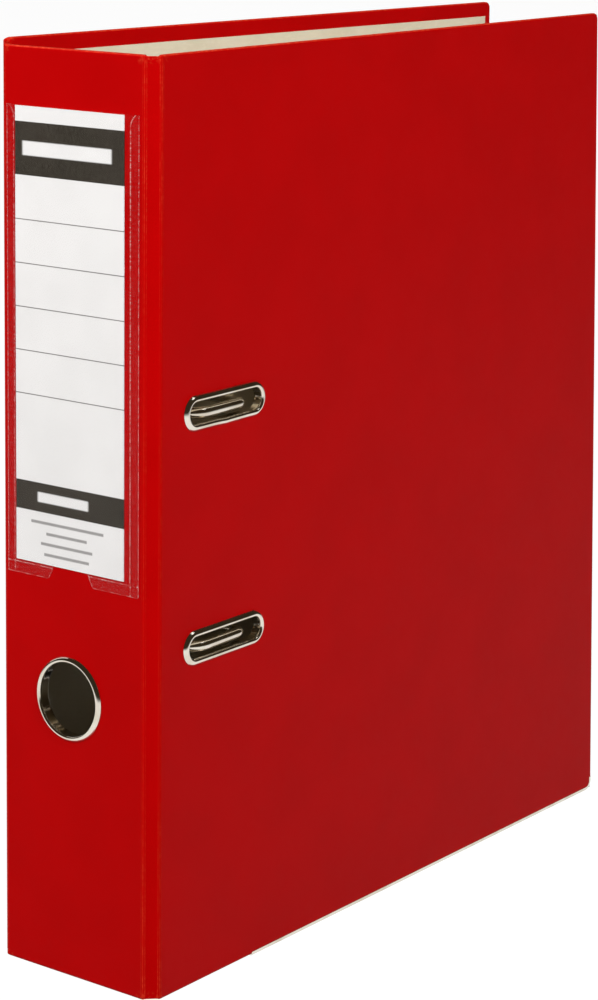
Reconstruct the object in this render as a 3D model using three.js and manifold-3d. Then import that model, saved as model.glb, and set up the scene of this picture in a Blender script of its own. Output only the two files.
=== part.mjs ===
// A4 lever arch file standing on its lower edge. Millimetres, +Z up.
//
// The case is built in a frame of its own: the spine's outer face lies in y = 0 and faces -Y, the back
// cover's outer face lies in x = 0 and faces -X, and the steel edge rails stand on z = 0. The exported
// group moves that frame so that the origin is at the bottom centre of the whole file.
//
// Every panel has local axes u (x, from its crease), v (y, upwards) and n (z, through its thickness,
// with the outer face at 0). "Depth" is the distance below a panel's outer face.

import * as THREE from 'three';
import { mergeVertices } from 'three/addons/utils/BufferGeometryUtils.js';
import Module from 'manifold-3d';

const wasm = await Module();
wasm.setup();

// ---- driving dimensions ----

const HEIGHT = 318;
const BACK_HEIGHT = 320; // the back cover stands a little proud of the spine and the front cover
const FILE_DEPTH = 285; // spine face to fore-edge
const SPINE_WIDTH = 63; // between the spine's two creases
const CHAMFER = 4.1; // each hinge strip cuts the corner of the case by this much
const FRONT_LEAN = THREE.MathUtils.degToRad(2.8); // the front cover leans towards the back cover
const ORIGIN = new THREE.Vector3(35.9, 141.85, 0); // bottom centre of the file, in the case frame

const FILM = 0.25; // covering film
const BOARD = 1.9; // grey board
const LINING = 0.2; // lining paper
const GAP = 0.05; // air between glued layers
const BOARD_TOP = FILM + GAP; // depth where the board starts
const BOARD_END = BOARD_TOP + BOARD;
const LINING_TOP = BOARD_END + GAP;
const PANEL = LINING_TOP + LINING; // thickness of a finished panel

const COVER_WIDTH = FILE_DEPTH - CHAMFER;
const CREASE_GAP = 0.15; // a panel's film stops this far short of its crease
const BOARD_START = 1; // the board stops this far short of the crease
const FLOOR = 0.3; // lower edge of the covering film
const TURN_IN = 4.2; // width of the film folded over onto the inner face
const TOP_RADIUS = 2.5; // upper fore-edge corner
const STRIP_THICKNESS = 0.5;
const CAVITY_INSET = 0.5; // inner face of the film's folded edges
const BOARD_INSET = 0.6;
const CREASE_RELIEF = 1.2; // the folded edges stop this far short of a crease
const LINING_CLEARANCE = 0.1; // between the lining and the folded edges
const REACH = 1; // cutters run past the solids by this much

const RAIL = { start: 51, leg: 1.3, web: 0.4, skin: 0.05, radius: 4, rise: 5, gap: 0.15 };
const RING = { centreU: 29.6, centreV: 98.3, hole: 13.3, segments: 40 };
const WASHER = { radius: 15.6, hole: 13.3, thickness: 0.4 };
const SLOT = { centreU: 34.15, spacing: 80, centreV: 158.1, core: 16.15, hole: 4.3 };
const LABEL = { u0: 5.6, u1: 54.5, v0: 143.2, v1: 298.1, thickness: 0.25 };
const POCKET = {
  u0: 1.7, u1: 60.9, v0: 138.6, v1: 298.4, in0: 4.9, in1: 57.3, inV: 142.3, sheet: 0.2, slack: 0.1,
};
const NOTCH = { u: 30.5, foot: 10, head: 8, rise: 5 };

// Mechanism frame: x from the arch shaft away from the spine, y upwards, z out of the back cover.
const MECHANISM = { y: 14, z: 157.2 };
const PLATE = { x0: -5.5, x1: 46, half: 55, z0: GAP, foot: 0.55, z1: 1.05, corner: 5 };
const WIRE = { radius: 2, sides: 12, shaftZ: 3.7, span: 40, tip: 0.35, tipGap: 0.45 };
const ARCH = { outerX: 10.5, outerZ: 66.3, waistX: 3, waistZ: 45, postZ: 64.3 };
const BEND = { tight: 5, crown: 8, waist: 25, crank: 3.2 };
const POST = { x: 37.8, radius: 2.6, rim: 0.25, foot: 4.5, footZ: 2.3, top: 41.5, coneAngle: 50 };
const CRANK = { reach: 10, upper: 15.6, lower: -4 };
const BEARING = { clearance: 0.25, wall: 1.2, spans: [[24, 32], [-28, -20]] };
const EAR = { radius: 3.5, thickness: 1.2, starts: [6, 12.8] };
const RIB = { x: 23, y: [-18, 18], core: 5, radius: 2, rise: 0.4 };
const LEVER = { x: 10, y: 22, z: 16.85, width: 11, cheek: 1, reach: 58, pin: 1.5, pinHead: 2.6 };
const ROLLER = { offset: 7.8, radius: 3.2, width: 7.6, bore: 1.35, pin: 1.2, pinHead: 1.9 };
const RIVET = { x: [2, 40], y: [-50.5, 50.5], shank: 2, head: 4.3, headDepth: 0.8, clinch: 3 };
const SUNK = { clearance: 0.2, depth: 0.95 }; // room round a rivet in the back cover
const BAR = {
  x0: 32, x1: 44, half: 46, bottom: 1.6, top: 5.6, sheet: 1.2, wall: 1, corner: 4, postHole: 3.2, ear: 1,
};
const CATCH = {
  pivotY: -33.5, pivotZ: 8, hole: 0.85, bottom: 6.1, top: 7.1, end: -47.5, knuckle: 1.7, postHole: 3.5,
  side: 1.6,
};
const RUNNING = 0.1; // clearance of a pin in its hole and of a head beside a cheek

// ---- materials ----

const LOOKS = {
  film: { color: 0xb50c10, roughness: 0.48, metalness: 0 },
  board: { color: 0x9a8d78, roughness: 0.95, metalness: 0 },
  lining: { color: 0xd9cfba, roughness: 0.8, metalness: 0 },
  nickel: { color: 0xcfc5b4, roughness: 0.22, metalness: 1 },
  steel: { color: 0xb9b4aa, roughness: 0.35, metalness: 1 },
  pocket: { color: 0xf3f0ee, roughness: 0.2, metalness: 0, transparent: true, opacity: 0.3 },
  label: { color: 0xf0f0ec, roughness: 0.7, metalness: 0 },
  nylon: { color: 0x24221f, roughness: 0.5, metalness: 0 },
};

// ---- solids and shapes ----

function toManifold(geometry) {
  const bare = geometry.clone();
  bare.deleteAttribute('normal');
  bare.deleteAttribute('uv');
  const merged = mergeVertices(bare, 1e-4);
  return new wasm.Manifold(
    new wasm.Mesh({
      numProp: 3,
      vertProperties: new Float32Array(merged.attributes.position.array),
      triVerts: new Uint32Array(merged.index.array),
    }),
  );
}

function toGeometry(manifold) {
  const mesh = manifold.getMesh();
  const geometry = new THREE.BufferGeometry();
  geometry.setAttribute('position', new THREE.BufferAttribute(new Float32Array(mesh.vertProperties), 3));
  geometry.setIndex(new THREE.BufferAttribute(new Uint32Array(mesh.triVerts), 1));
  return geometry;
}

function cut(body, ...tools) {
  return toGeometry(tools.reduce((left, tool) => left.subtract(toManifold(tool)), toManifold(body)));
}

function join(...bodies) {
  return toGeometry(bodies.map(toManifold).reduce((left, right) => left.add(right)));
}

function extrude(shape, from, to, curveSegments = 8) {
  const geometry = new THREE.ExtrudeGeometry(shape, { depth: to - from, bevelEnabled: false, curveSegments });
  return geometry.translate(0, 0, from);
}

function rectangle(x0, y0, x1, y1) {
  return new THREE.Shape([
    new THREE.Vector2(x0, y0),
    new THREE.Vector2(x1, y0),
    new THREE.Vector2(x1, y1),
    new THREE.Vector2(x0, y1),
  ]);
}

// A rectangle whose corners are rounded by lower right, upper right, upper left and lower left radius.
function roundedRectangle(x0, y0, x1, y1, radii) {
  const [lowerRight, upperRight, upperLeft, lowerLeft] = radii;
  const quarter = Math.PI / 2;
  const shape = new THREE.Shape();
  shape.moveTo(x0 + lowerLeft, y0);
  shape.lineTo(x1 - lowerRight, y0);
  if (lowerRight) shape.absarc(x1 - lowerRight, y0 + lowerRight, lowerRight, -quarter, 0);
  shape.lineTo(x1, y1 - upperRight);
  if (upperRight) shape.absarc(x1 - upperRight, y1 - upperRight, upperRight, 0, quarter);
  shape.lineTo(x0 + upperLeft, y1);
  if (upperLeft) shape.absarc(x0 + upperLeft, y1 - upperLeft, upperLeft, quarter, 2 * quarter);
  shape.lineTo(x0, y0 + lowerLeft);
  if (lowerLeft) shape.absarc(x0 + lowerLeft, y0 + lowerLeft, lowerLeft, 2 * quarter, 3 * quarter);
  return shape;
}

function disc(x, y, radius) {
  const shape = new THREE.Shape();
  shape.absarc(x, y, radius, 0, 2 * Math.PI);
  return shape;
}

// A straight slot with round ends, running along x.
function stadium(x, y, core, radius) {
  const shape = new THREE.Shape();
  shape.absarc(x + core, y, radius, -Math.PI / 2, Math.PI / 2);
  shape.absarc(x - core, y, radius, Math.PI / 2, 1.5 * Math.PI);
  return shape;
}

// A lug with a flat foot and a round top, and a hole on the centre of the round.
function lug(x, footY, centreY, radius, hole) {
  const shape = new THREE.Shape();
  shape.moveTo(x + radius, footY);
  shape.lineTo(x + radius, centreY);
  shape.absarc(x, centreY, radius, 0, Math.PI);
  shape.lineTo(x - radius, footY);
  shape.holes.push(disc(x, centreY, hole));
  return shape;
}

// Turns a shape extruded along z into one extruded along another axis.
function standing(geometry, xAxis, yAxis, zAxis) {
  return geometry.applyMatrix4(new THREE.Matrix4().makeBasis(xAxis, yAxis, zAxis));
}

const X = new THREE.Vector3(1, 0, 0);
const Y = new THREE.Vector3(0, 1, 0);
const Z = new THREE.Vector3(0, 0, 1);

// Side view in the mechanism's (y, z) plane, extruded along x.
function acrossX(shape, from, to) {
  return standing(extrude(shape, from, to, 10), Y, Z, X);
}

// End view in the mechanism's (x, z) plane, extruded along y from low to high.
function alongY(shape, low, high) {
  return standing(extrude(shape, -high, -low, 10), X, Z, Y.clone().negate());
}

// Sweeps a closed (offset, n) profile once around a slot of the given core length.
function rimmedLoop(profile, core, segments) {
  const points = THREE.ShapeUtils.area(profile) > 0 ? profile : profile.slice().reverse();
  const rows = [];
  for (let side = 0; side < 2; side += 1) {
    for (let step = 0; step <= segments; step += 1) {
      const isRepeat = core === 0 && step === segments;
      if (isRepeat) continue;
      const angle = (side - 0.5 + step / segments) * Math.PI;
      const centre = side === 0 ? core : -core;
      rows.push(points.map((p) => [centre + p.x * Math.cos(angle), p.x * Math.sin(angle), p.y]));
    }
  }
  const index = [];
  const count = points.length;
  rows.forEach((row, i) => {
    const next = (i + 1) % rows.length;
    row.forEach((point, k) => {
      const up = (k + 1) % count;
      index.push(i * count + k, next * count + k, next * count + up);
      index.push(i * count + k, next * count + up, i * count + up);
    });
  });
  const geometry = new THREE.BufferGeometry();
  geometry.setAttribute('position', new THREE.Float32BufferAttribute(rows.flat(2), 3));
  geometry.setIndex(index);
  return geometry;
}

// Solid of revolution about z from (radius, z) pairs that start and end on the axis, lowest first.
function turned(pairs, segments = 28) {
  const lathe = new THREE.LatheGeometry(pairs.map(([r, z]) => new THREE.Vector2(r, z)), segments);
  return lathe.rotateX(Math.PI / 2);
}

// The same solid lying along x instead.
function turnedAlongX(pairs, segments) {
  return turned(pairs, segments).applyMatrix4(new THREE.Matrix4().makeBasis(Y, Z, X));
}

// ---- bent wire ----

// Rounds the corners of a polyline; every corner is {at, bend} with bend its centre-line radius.
function roundedPath(corners) {
  const points = [corners[0].at];
  for (let i = 1; i < corners.length - 1; i += 1) {
    const { at, bend } = corners[i];
    const back = corners[i - 1].at.clone().sub(at).normalize();
    const ahead = corners[i + 1].at.clone().sub(at).normalize();
    const half = back.angleTo(ahead) / 2;
    const centre = back.clone().add(ahead).normalize().multiplyScalar(bend / Math.sin(half)).add(at);
    const start = at.clone().addScaledVector(back, bend / Math.tan(half));
    const axis = ahead.clone().cross(back).normalize();
    const turn = Math.PI - 2 * half;
    const steps = Math.max(3, Math.ceil(turn / THREE.MathUtils.degToRad(10)));
    const arm = start.sub(centre);
    for (let step = 0; step <= steps; step += 1) {
      points.push(arm.clone().applyAxisAngle(axis, (turn * step) / steps).add(centre));
    }
  }
  points.push(corners.at(-1).at);
  return points;
}

// A round bar along the points, with a radius given for each point.
function bar(points, radii, sides) {
  const tangents = points.map((point, i) => {
    const before = points[Math.max(i - 1, 0)];
    const after = points[Math.min(i + 1, points.length - 1)];
    return after.clone().sub(before).normalize();
  });
  const normal = Math.abs(tangents[0].y) > 0.9 ? X.clone() : Y.clone();
  const positions = [];
  points.forEach((point, i) => {
    normal.addScaledVector(tangents[i], -normal.dot(tangents[i])).normalize();
    const binormal = tangents[i].clone().cross(normal);
    for (let side = 0; side < sides; side += 1) {
      const angle = (2 * Math.PI * side) / sides;
      const rim = point.clone();
      rim.addScaledVector(normal, radii[i] * Math.cos(angle));
      rim.addScaledVector(binormal, radii[i] * Math.sin(angle));
      positions.push(rim.x, rim.y, rim.z);
    }
  });
  const last = points.length - 1;
  positions.push(...points[0].toArray(), ...points[last].toArray());
  const startCap = points.length * sides;
  const endCap = startCap + 1;
  const index = [];
  for (let side = 0; side < sides; side += 1) {
    const next = (side + 1) % sides;
    for (let i = 0; i < last; i += 1) {
      const here = i * sides;
      const there = here + sides;
      index.push(here + side, here + next, there + next, here + side, there + next, there + side);
    }
    index.push(startCap, next, side, endCap, last * sides + side, last * sides + next);
  }
  const geometry = new THREE.BufferGeometry();
  geometry.setAttribute('position', new THREE.Float32BufferAttribute(positions, 3));
  geometry.setIndex(index);
  return geometry;
}

// ---- case panels ----

// Places a panel: its u axis points along direction, its v axis is +Z.
function panelGroup(x, y, directionX, directionY) {
  const u = new THREE.Vector3(directionX, directionY, 0);
  const group = new THREE.Group();
  group.quaternion.setFromRotationMatrix(new THREE.Matrix4().makeBasis(u, Z, u.clone().cross(Z)));
  group.position.set(x, y, 0);
  return group;
}

function addPiece(group, name, look, geometry) {
  geometry.deleteAttribute('uv');
  geometry.computeVertexNormals();
  const mesh = new THREE.Mesh(geometry, new THREE.MeshStandardMaterial(LOOKS[look]));
  mesh.name = name;
  group.add(mesh);
  return mesh;
}

// Extrudes a shape between two depths; inner is true on the panel whose n axis points inwards.
function layer(shape, top, bottom, inner, curveSegments) {
  return inner ? extrude(shape, top, bottom, curveSegments) : extrude(shape, -bottom, -top, curveSegments);
}

// The lower fore-edge corner of a cover, moved inwards by inset, from the rail's start to a height.
function cornerLine(inset, start, rise) {
  const radius = RAIL.radius - inset;
  const line = [new THREE.Vector2(start, inset)];
  const steps = 8;
  for (let step = 0; step <= steps; step += 1) {
    const angle = (step / steps - 1) * (Math.PI / 2);
    const x = COVER_WIDTH - RAIL.radius + radius * Math.cos(angle);
    line.push(new THREE.Vector2(x, RAIL.radius + radius * Math.sin(angle)));
  }
  line.push(new THREE.Vector2(COVER_WIDTH - inset, rise));
  return line;
}

// The band between two insets of the corner line.
function cornerBand(outerInset, innerInset, start, rise) {
  const inside = cornerLine(innerInset, start, rise).reverse();
  return new THREE.Shape([...cornerLine(outerInset, start, rise), ...inside]);
}

function railGeometry(inner) {
  const overrun = 1;
  const channel = cornerBand(RAIL.web, RAIL.leg + overrun, RAIL.start - overrun, RAIL.rise + overrun);
  const block = cornerBand(0, RAIL.leg, RAIL.start, RAIL.rise);
  return cut(
    layer(block, -RAIL.skin, PANEL + RAIL.skin, inner),
    layer(channel, FILM, LINING_TOP, inner),
  );
}

// Outline of a cover's film: the lower edge and corner are cut back where the steel rail sits.
function coverFilmOutline(height) {
  const railTop = RAIL.leg + RAIL.gap;
  const line = cornerLine(railTop, RAIL.start - RAIL.gap, RAIL.rise + RAIL.gap);
  const shape = new THREE.Shape([
    new THREE.Vector2(CREASE_GAP, FLOOR),
    new THREE.Vector2(RAIL.start - RAIL.gap, FLOOR),
    ...line,
    new THREE.Vector2(COVER_WIDTH, RAIL.rise + RAIL.gap),
  ]);
  const centreU = COVER_WIDTH - TOP_RADIUS;
  shape.absarc(centreU, height - TOP_RADIUS, TOP_RADIUS, 0, Math.PI / 2);
  shape.lineTo(CREASE_GAP, height);
  return shape;
}

function coverBoardOutline(height, inset, start) {
  const radii = [RAIL.radius - inset, TOP_RADIUS - inset, 0, 0];
  return roundedRectangle(start, inset, COVER_WIDTH - inset, height - inset, radii);
}

// Film of a panel: an outer sheet whose edges fold round the board's cavity onto the inner face.
function filmGeometry({ outline, cavity, width, height, foreEdge, inner, holes }) {
  const windowEnd = foreEdge ? width - TURN_IN : width + REACH;
  const window = rectangle(-REACH, TURN_IN, windowEnd, HEIGHT - TURN_IN);
  const reliefs = [rectangle(-REACH, -REACH, CREASE_RELIEF, height + REACH)];
  if (!foreEdge) reliefs.push(rectangle(width - CREASE_RELIEF, -REACH, width + REACH, height + REACH));
  return cut(
    layer(outline, 0, PANEL, inner),
    layer(cavity, FILM, LINING_TOP, inner),
    layer(window, LINING_TOP - GAP, PANEL + REACH, inner),
    ...reliefs.map((shape) => layer(shape, FILM, PANEL + REACH, inner)),
    ...holes.map((shape) => layer(shape, -REACH, PANEL + REACH, inner, 12)),
  );
}

function withHoles(shape, holes) {
  shape.holes.push(...holes);
  return shape;
}

// The lining ends at the same height on every panel, the taller back cover included.
function liningShape(end, holes) {
  const edge = TURN_IN + LINING_CLEARANCE;
  return withHoles(rectangle(BOARD_START, edge, end, HEIGHT - edge), holes);
}

// ---- front cover ----

function slotCentres() {
  return [-1, 1].map((side) => SLOT.centreV + (side * SLOT.spacing) / 2);
}

function slotEyelet() {
  const profile = [
    [6, 0.05], [5.93, 0.4], [5.6, 0.85], [5.1, 1.18], [4.6, 1.3], [4.15, 1.12], [3.85, 0.7], [3.75, 0.1],
    [3.75, -2.35], [3.9, -2.7], [4.2, -2.85], [5.3, -2.85], [5.4, -2.68], [5.3, -2.5], [4.15, -2.5],
    [4.15, 0.05],
  ].map(([offset, n]) => new THREE.Vector2(offset, n));
  return rimmedLoop(profile, SLOT.core, 10);
}

function buildFrontCover(parent) {
  const group = panelGroup(
    SPINE_WIDTH + 2 * CHAMFER, CHAMFER, -Math.sin(FRONT_LEAN), Math.cos(FRONT_LEAN),
  );
  const holes = () => slotCentres().map((v) => stadium(SLOT.centreU, v, SLOT.core, SLOT.hole));
  const board = withHoles(coverBoardOutline(HEIGHT, BOARD_INSET, BOARD_START), holes());
  const lining = liningShape(COVER_WIDTH - TURN_IN - LINING_CLEARANCE, holes());
  addPiece(group, 'front_film', 'film', filmGeometry({
    outline: coverFilmOutline(HEIGHT),
    cavity: coverBoardOutline(HEIGHT, CAVITY_INSET, -REACH),
    width: COVER_WIDTH,
    height: HEIGHT,
    foreEdge: true,
    inner: false,
    holes: holes(),
  }));
  addPiece(group, 'front_board', 'board', layer(board, BOARD_TOP, BOARD_END, false, 12));
  addPiece(group, 'front_lining', 'lining', layer(lining, LINING_TOP, PANEL, false, 12));
  addPiece(group, 'front_edge_rail', 'nickel', railGeometry(false));
  slotCentres().forEach((v, i) => {
    const eyelet = addPiece(group, ['lower_slot_eyelet', 'upper_slot_eyelet'][i], 'nickel', slotEyelet());
    eyelet.position.set(SLOT.centreU, v, 0);
  });
  parent.add(group);
}

// ---- spine ----

function fingerRing() {
  const profile = [
    [14.6, 0.05], [14.5, 0.4], [14.2, 0.85], [13.8, 1.18], [13.4, 1.3], [13, 1.15], [12.7, 0.75],
    [12.6, 0.2], [12.6, -2.75], [12.75, -3.15], [13.1, -3.3], [14, -3.3], [14.1, -3.12], [14, -2.98],
    [13.15, -2.95], [13.15, 0.05],
  ].map(([offset, n]) => new THREE.Vector2(offset, n));
  return rimmedLoop(profile, 0, RING.segments / 2);
}

function ringWasher() {
  const washer = withHoles(disc(0, 0, WASHER.radius), [disc(0, 0, WASHER.hole)]);
  const face = -(PANEL + GAP);
  return extrude(washer, face - WASHER.thickness, face, RING.segments);
}

// Clear sleeve for the label card, welded to the spine along three sides and open at the top.
function labelPocket() {
  const weldTop = GAP;
  const cardRoom = weldTop + LABEL.thickness + POCKET.slack;
  const sheet = cardRoom + POCKET.sheet;
  const outline = new THREE.Shape();
  outline.moveTo(POCKET.u0, POCKET.v0);
  outline.lineTo(NOTCH.u - NOTCH.foot, POCKET.v0);
  const { x: headU, y: headV } = new THREE.Vector2(NOTCH.u - NOTCH.head, POCKET.v0 + NOTCH.rise);
  outline.quadraticCurveTo(NOTCH.u - NOTCH.foot, POCKET.v0 + NOTCH.rise * 0.6, headU, headV);
  outline.lineTo(NOTCH.u + NOTCH.head, headV);
  outline.quadraticCurveTo(
    NOTCH.u + NOTCH.foot, POCKET.v0 + NOTCH.rise * 0.6, NOTCH.u + NOTCH.foot, POCKET.v0,
  );
  outline.lineTo(POCKET.u1, POCKET.v0);
  outline.lineTo(POCKET.u1, POCKET.v1);
  outline.lineTo(POCKET.u0, POCKET.v1);
  const room = rectangle(POCKET.in0, POCKET.inV, POCKET.in1, POCKET.v1 + REACH);
  return cut(extrude(outline, weldTop, sheet, 6), extrude(room, 0, cardRoom));
}

function buildSpine(parent) {
  const group = panelGroup(CHAMFER, 0, 1, 0);
  const hole = () => [disc(RING.centreU, RING.centreV, RING.hole)];
  const outline = rectangle(CREASE_GAP, FLOOR, SPINE_WIDTH - CREASE_GAP, HEIGHT);
  const cavity = rectangle(-REACH, CAVITY_INSET, SPINE_WIDTH + REACH, HEIGHT - CAVITY_INSET);
  const end = SPINE_WIDTH - BOARD_START;
  const board = withHoles(rectangle(BOARD_START, BOARD_INSET, end, HEIGHT - BOARD_INSET), hole());
  const lining = liningShape(end, hole());
  addPiece(group, 'spine_film', 'film', filmGeometry({
    outline, cavity, width: SPINE_WIDTH, height: HEIGHT, foreEdge: false, inner: false, holes: hole(),
  }));
  addPiece(group, 'spine_board', 'board', layer(board, BOARD_TOP, BOARD_END, false, 20));
  addPiece(group, 'spine_lining', 'lining', layer(lining, LINING_TOP, PANEL, false, 20));
  for (const [name, geometry] of [['finger_ring', fingerRing()], ['finger_ring_washer', ringWasher()]]) {
    addPiece(group, name, 'nickel', geometry).position.set(RING.centreU, RING.centreV, 0);
  }
  const card = rectangle(LABEL.u0, LABEL.v0, LABEL.u1, LABEL.v1);
  addPiece(group, 'label_card', 'label', extrude(card, GAP, GAP + LABEL.thickness));
  addPiece(group, 'label_pocket', 'pocket', labelPocket());
  parent.add(group);
}

// ---- hinge strips ----

function buildHingeStrip(parent, name, x, y, directionX, directionY) {
  const group = panelGroup(x, y, directionX, directionY);
  const width = Math.hypot(CHAMFER, CHAMFER);
  const strip = rectangle(CREASE_GAP, FLOOR, width - CREASE_GAP, HEIGHT);
  addPiece(group, name, 'film', layer(strip, 0, STRIP_THICKNESS, false));
  parent.add(group);
}

// ---- back cover ----

function rivetCentres() {
  return RIVET.y.flatMap((y) => RIVET.x.map((x) => [x, y]));
}

function buildBackCover(parent) {
  const group = panelGroup(0, CHAMFER, 0, 1);
  const mechanismU = MECHANISM.y - CHAMFER;
  const holes = (radius) =>
    rivetCentres().map(([x, y]) => disc(mechanismU + x, MECHANISM.z + y, radius));
  const shankHole = RIVET.shank + SUNK.clearance;
  const headHole = RIVET.head + SUNK.clearance;
  const board = coverBoardOutline(BACK_HEIGHT, BOARD_INSET, BOARD_START);
  const lining = liningShape(COVER_WIDTH - TURN_IN - LINING_CLEARANCE, holes(shankHole));
  addPiece(group, 'back_film', 'film', filmGeometry({
    outline: coverFilmOutline(BACK_HEIGHT),
    cavity: coverBoardOutline(BACK_HEIGHT, CAVITY_INSET, -REACH),
    width: COVER_WIDTH,
    height: BACK_HEIGHT,
    foreEdge: true,
    inner: true,
    holes: holes(headHole),
  }));
  addPiece(group, 'back_board', 'board', cut(
    layer(board, BOARD_TOP, BOARD_END, true),
    ...holes(shankHole).map((shape) => layer(shape, -REACH, PANEL + REACH, true, 8)),
    ...holes(headHole).map((shape) => layer(shape, -REACH, SUNK.depth, true, 8)),
  ));
  addPiece(group, 'back_lining', 'lining', layer(lining, LINING_TOP, PANEL, true, 8));
  addPiece(group, 'back_edge_rail', 'nickel', railGeometry(true));
  const mechanism = new THREE.Group();
  mechanism.position.set(mechanismU, MECHANISM.z, PANEL);
  buildMechanism(mechanism);
  group.add(mechanism);
  parent.add(group);
}

// ---- lever arch mechanism ----

// Block that the arch shaft turns in, between two heights on the plate.
function bearing(low, high) {
  const hole = WIRE.radius + BEARING.clearance;
  return alongY(lug(0, PLATE.foot, WIRE.shaftZ, hole + BEARING.wall, hole), low, high);
}

// One ear of the lever's bracket, with its pin hole.
function leverEar(x) {
  const shape = lug(LEVER.y, PLATE.foot, LEVER.z, EAR.radius, LEVER.pin + RUNNING);
  return acrossX(shape, x, x + EAR.thickness);
}

function plateRib(y) {
  return extrude(stadium(RIB.x, y, RIB.core, RIB.radius), PLATE.foot, PLATE.z1 + RIB.rise, 8);
}

function basePlate() {
  const radii = [PLATE.corner, PLATE.corner, PLATE.corner, PLATE.corner];
  const outline = roundedRectangle(PLATE.x0, -PLATE.half, PLATE.x1, PLATE.half, radii);
  const holes = rivetCentres().map(([x, y]) => disc(x, y, RIVET.shank + SUNK.clearance));
  const plate = extrude(withHoles(outline, holes), PLATE.z0, PLATE.z1, 8);
  const bearings = BEARING.spans.map(([low, high]) => bearing(low, high));
  return join(plate, ...bearings, ...EAR.starts.map(leverEar), ...RIB.y.map(plateRib));
}

function post() {
  const rim = POST.radius - POST.rim;
  const recess = rim / Math.tan(THREE.MathUtils.degToRad(POST.coneAngle));
  const bottom = PLATE.z1 + GAP;
  return turned([
    [0, bottom], [POST.foot, bottom], [POST.foot, POST.footZ - 0.4], [POST.foot - 0.4, POST.footZ],
    [POST.radius, POST.footZ], [POST.radius, POST.top], [rim, POST.top], [0, POST.top - recess],
  ]);
}

// Both arches, their shaft and its crank are one bent wire with a cone at each tip.
function archWire() {
  const slope = Math.tan(THREE.MathUtils.degToRad(POST.coneAngle));
  const apex = POST.top - (POST.radius - POST.rim) / slope + WIRE.tipGap;
  const shoulder = apex + WIRE.radius / slope;
  const at = (x, y, z) => new THREE.Vector3(x, y, z);
  const arch = (y) => [
    { at: at(POST.x, y, shoulder) },
    { at: at(POST.x, y, ARCH.postZ), bend: BEND.tight },
    { at: at(ARCH.outerX, y, ARCH.outerZ), bend: BEND.crown },
    { at: at(ARCH.waistX, y, ARCH.waistZ), bend: BEND.waist },
    { at: at(0, y, WIRE.shaftZ), bend: BEND.tight },
  ];
  const crank = [
    [0, CRANK.upper], [CRANK.reach, CRANK.upper], [CRANK.reach, CRANK.lower], [0, CRANK.lower],
  ].map(([x, y]) => ({ at: at(x, y, WIRE.shaftZ), bend: BEND.crank }));
  const body = roundedPath([...arch(WIRE.span), ...crank, ...arch(-WIRE.span).reverse()]);
  const tipZ = apex + WIRE.tip / slope;
  const points = [at(POST.x, WIRE.span, tipZ), ...body, at(POST.x, -WIRE.span, tipZ)];
  const last = points.length - 1;
  const radii = points.map((point, i) => (i === 0 || i === last ? WIRE.tip : WIRE.radius));
  return bar(points, radii, WIRE.sides);
}

// Side view of the lever from its pivot: s runs towards the thumb end, h is height above the pivot.
function leverOutline(pairs) {
  return new THREE.Shape(pairs.map(([s, h]) => new THREE.Vector2(LEVER.y - s, LEVER.z + h)).reverse());
}

function lever() {
  const half = LEVER.width / 2;
  const body = leverOutline([
    [-6, -2.5], [-4.5, -4], [0, -5.5], [3.8, -9.6], [6, -10.6], [9.5, -10.6], [12, -9.4], [18, -3.5],
    [30, -0.5], [48, 1.2], [53.5, 2.2], [LEVER.reach - 1, 7.8], [LEVER.reach, 9.3],
    [LEVER.reach - 0.8, 9.9], [LEVER.reach - 2.4, 9.1], [51.5, 4.6], [48, 4], [30, 4.4], [10, 5], [-4.5, 5],
    [-6, 3.5],
  ]);
  const inside = leverOutline([
    [-8, -12], [14, -12], [20, -4.5], [30, -1.5], [49, 0.2], [49, 2.8], [30, 3.2], [10, 3.8], [-8, 3.8],
  ]);
  return cut(
    acrossX(body, LEVER.x - half, LEVER.x + half),
    acrossX(inside, LEVER.x - half + LEVER.cheek, LEVER.x + half - LEVER.cheek),
    ...[
      disc(LEVER.y, LEVER.z, LEVER.pin + RUNNING),
      disc(LEVER.y - ROLLER.offset, LEVER.z - ROLLER.offset, ROLLER.pin + RUNNING / 2),
    ].map((hole) => acrossX(hole, LEVER.x - half - REACH, LEVER.x + half + REACH)),
  );
}

// A headed pin through the lever's cheeks, along x from its middle.
function crossPin(radius, head) {
  const cheek = LEVER.width / 2 + RUNNING;
  const end = cheek + 0.8;
  return turnedAlongX([
    [0, -end], [head - 0.3, -end], [head, -end + 0.3], [head, -cheek], [radius, -cheek], [radius, cheek],
    [head, cheek], [head, end - 0.3], [head - 0.3, end], [0, end],
  ], 20);
}

function roller() {
  const ring = withHoles(disc(0, 0, ROLLER.radius), [disc(0, 0, ROLLER.bore)]);
  return acrossX(ring, -ROLLER.width / 2, ROLLER.width / 2);
}

// Rivet with its head sunk flush in the back cover and its shank clinched over the base plate.
function rivet() {
  const outside = -PANEL + 0.03;
  const clinch = PLATE.z1 + GAP;
  return turned([
    [0, outside], [RIVET.head - 0.3, outside], [RIVET.head, outside + 0.2],
    [RIVET.head, outside + RIVET.headDepth], [RIVET.shank, outside + RIVET.headDepth],
    [RIVET.shank, clinch], [RIVET.clinch, clinch],
    [RIVET.clinch, clinch + 0.4], [RIVET.clinch - 0.7, clinch + 0.85], [1, clinch + 0.85],
    [0, clinch + 0.4],
  ], 24);
}

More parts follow.
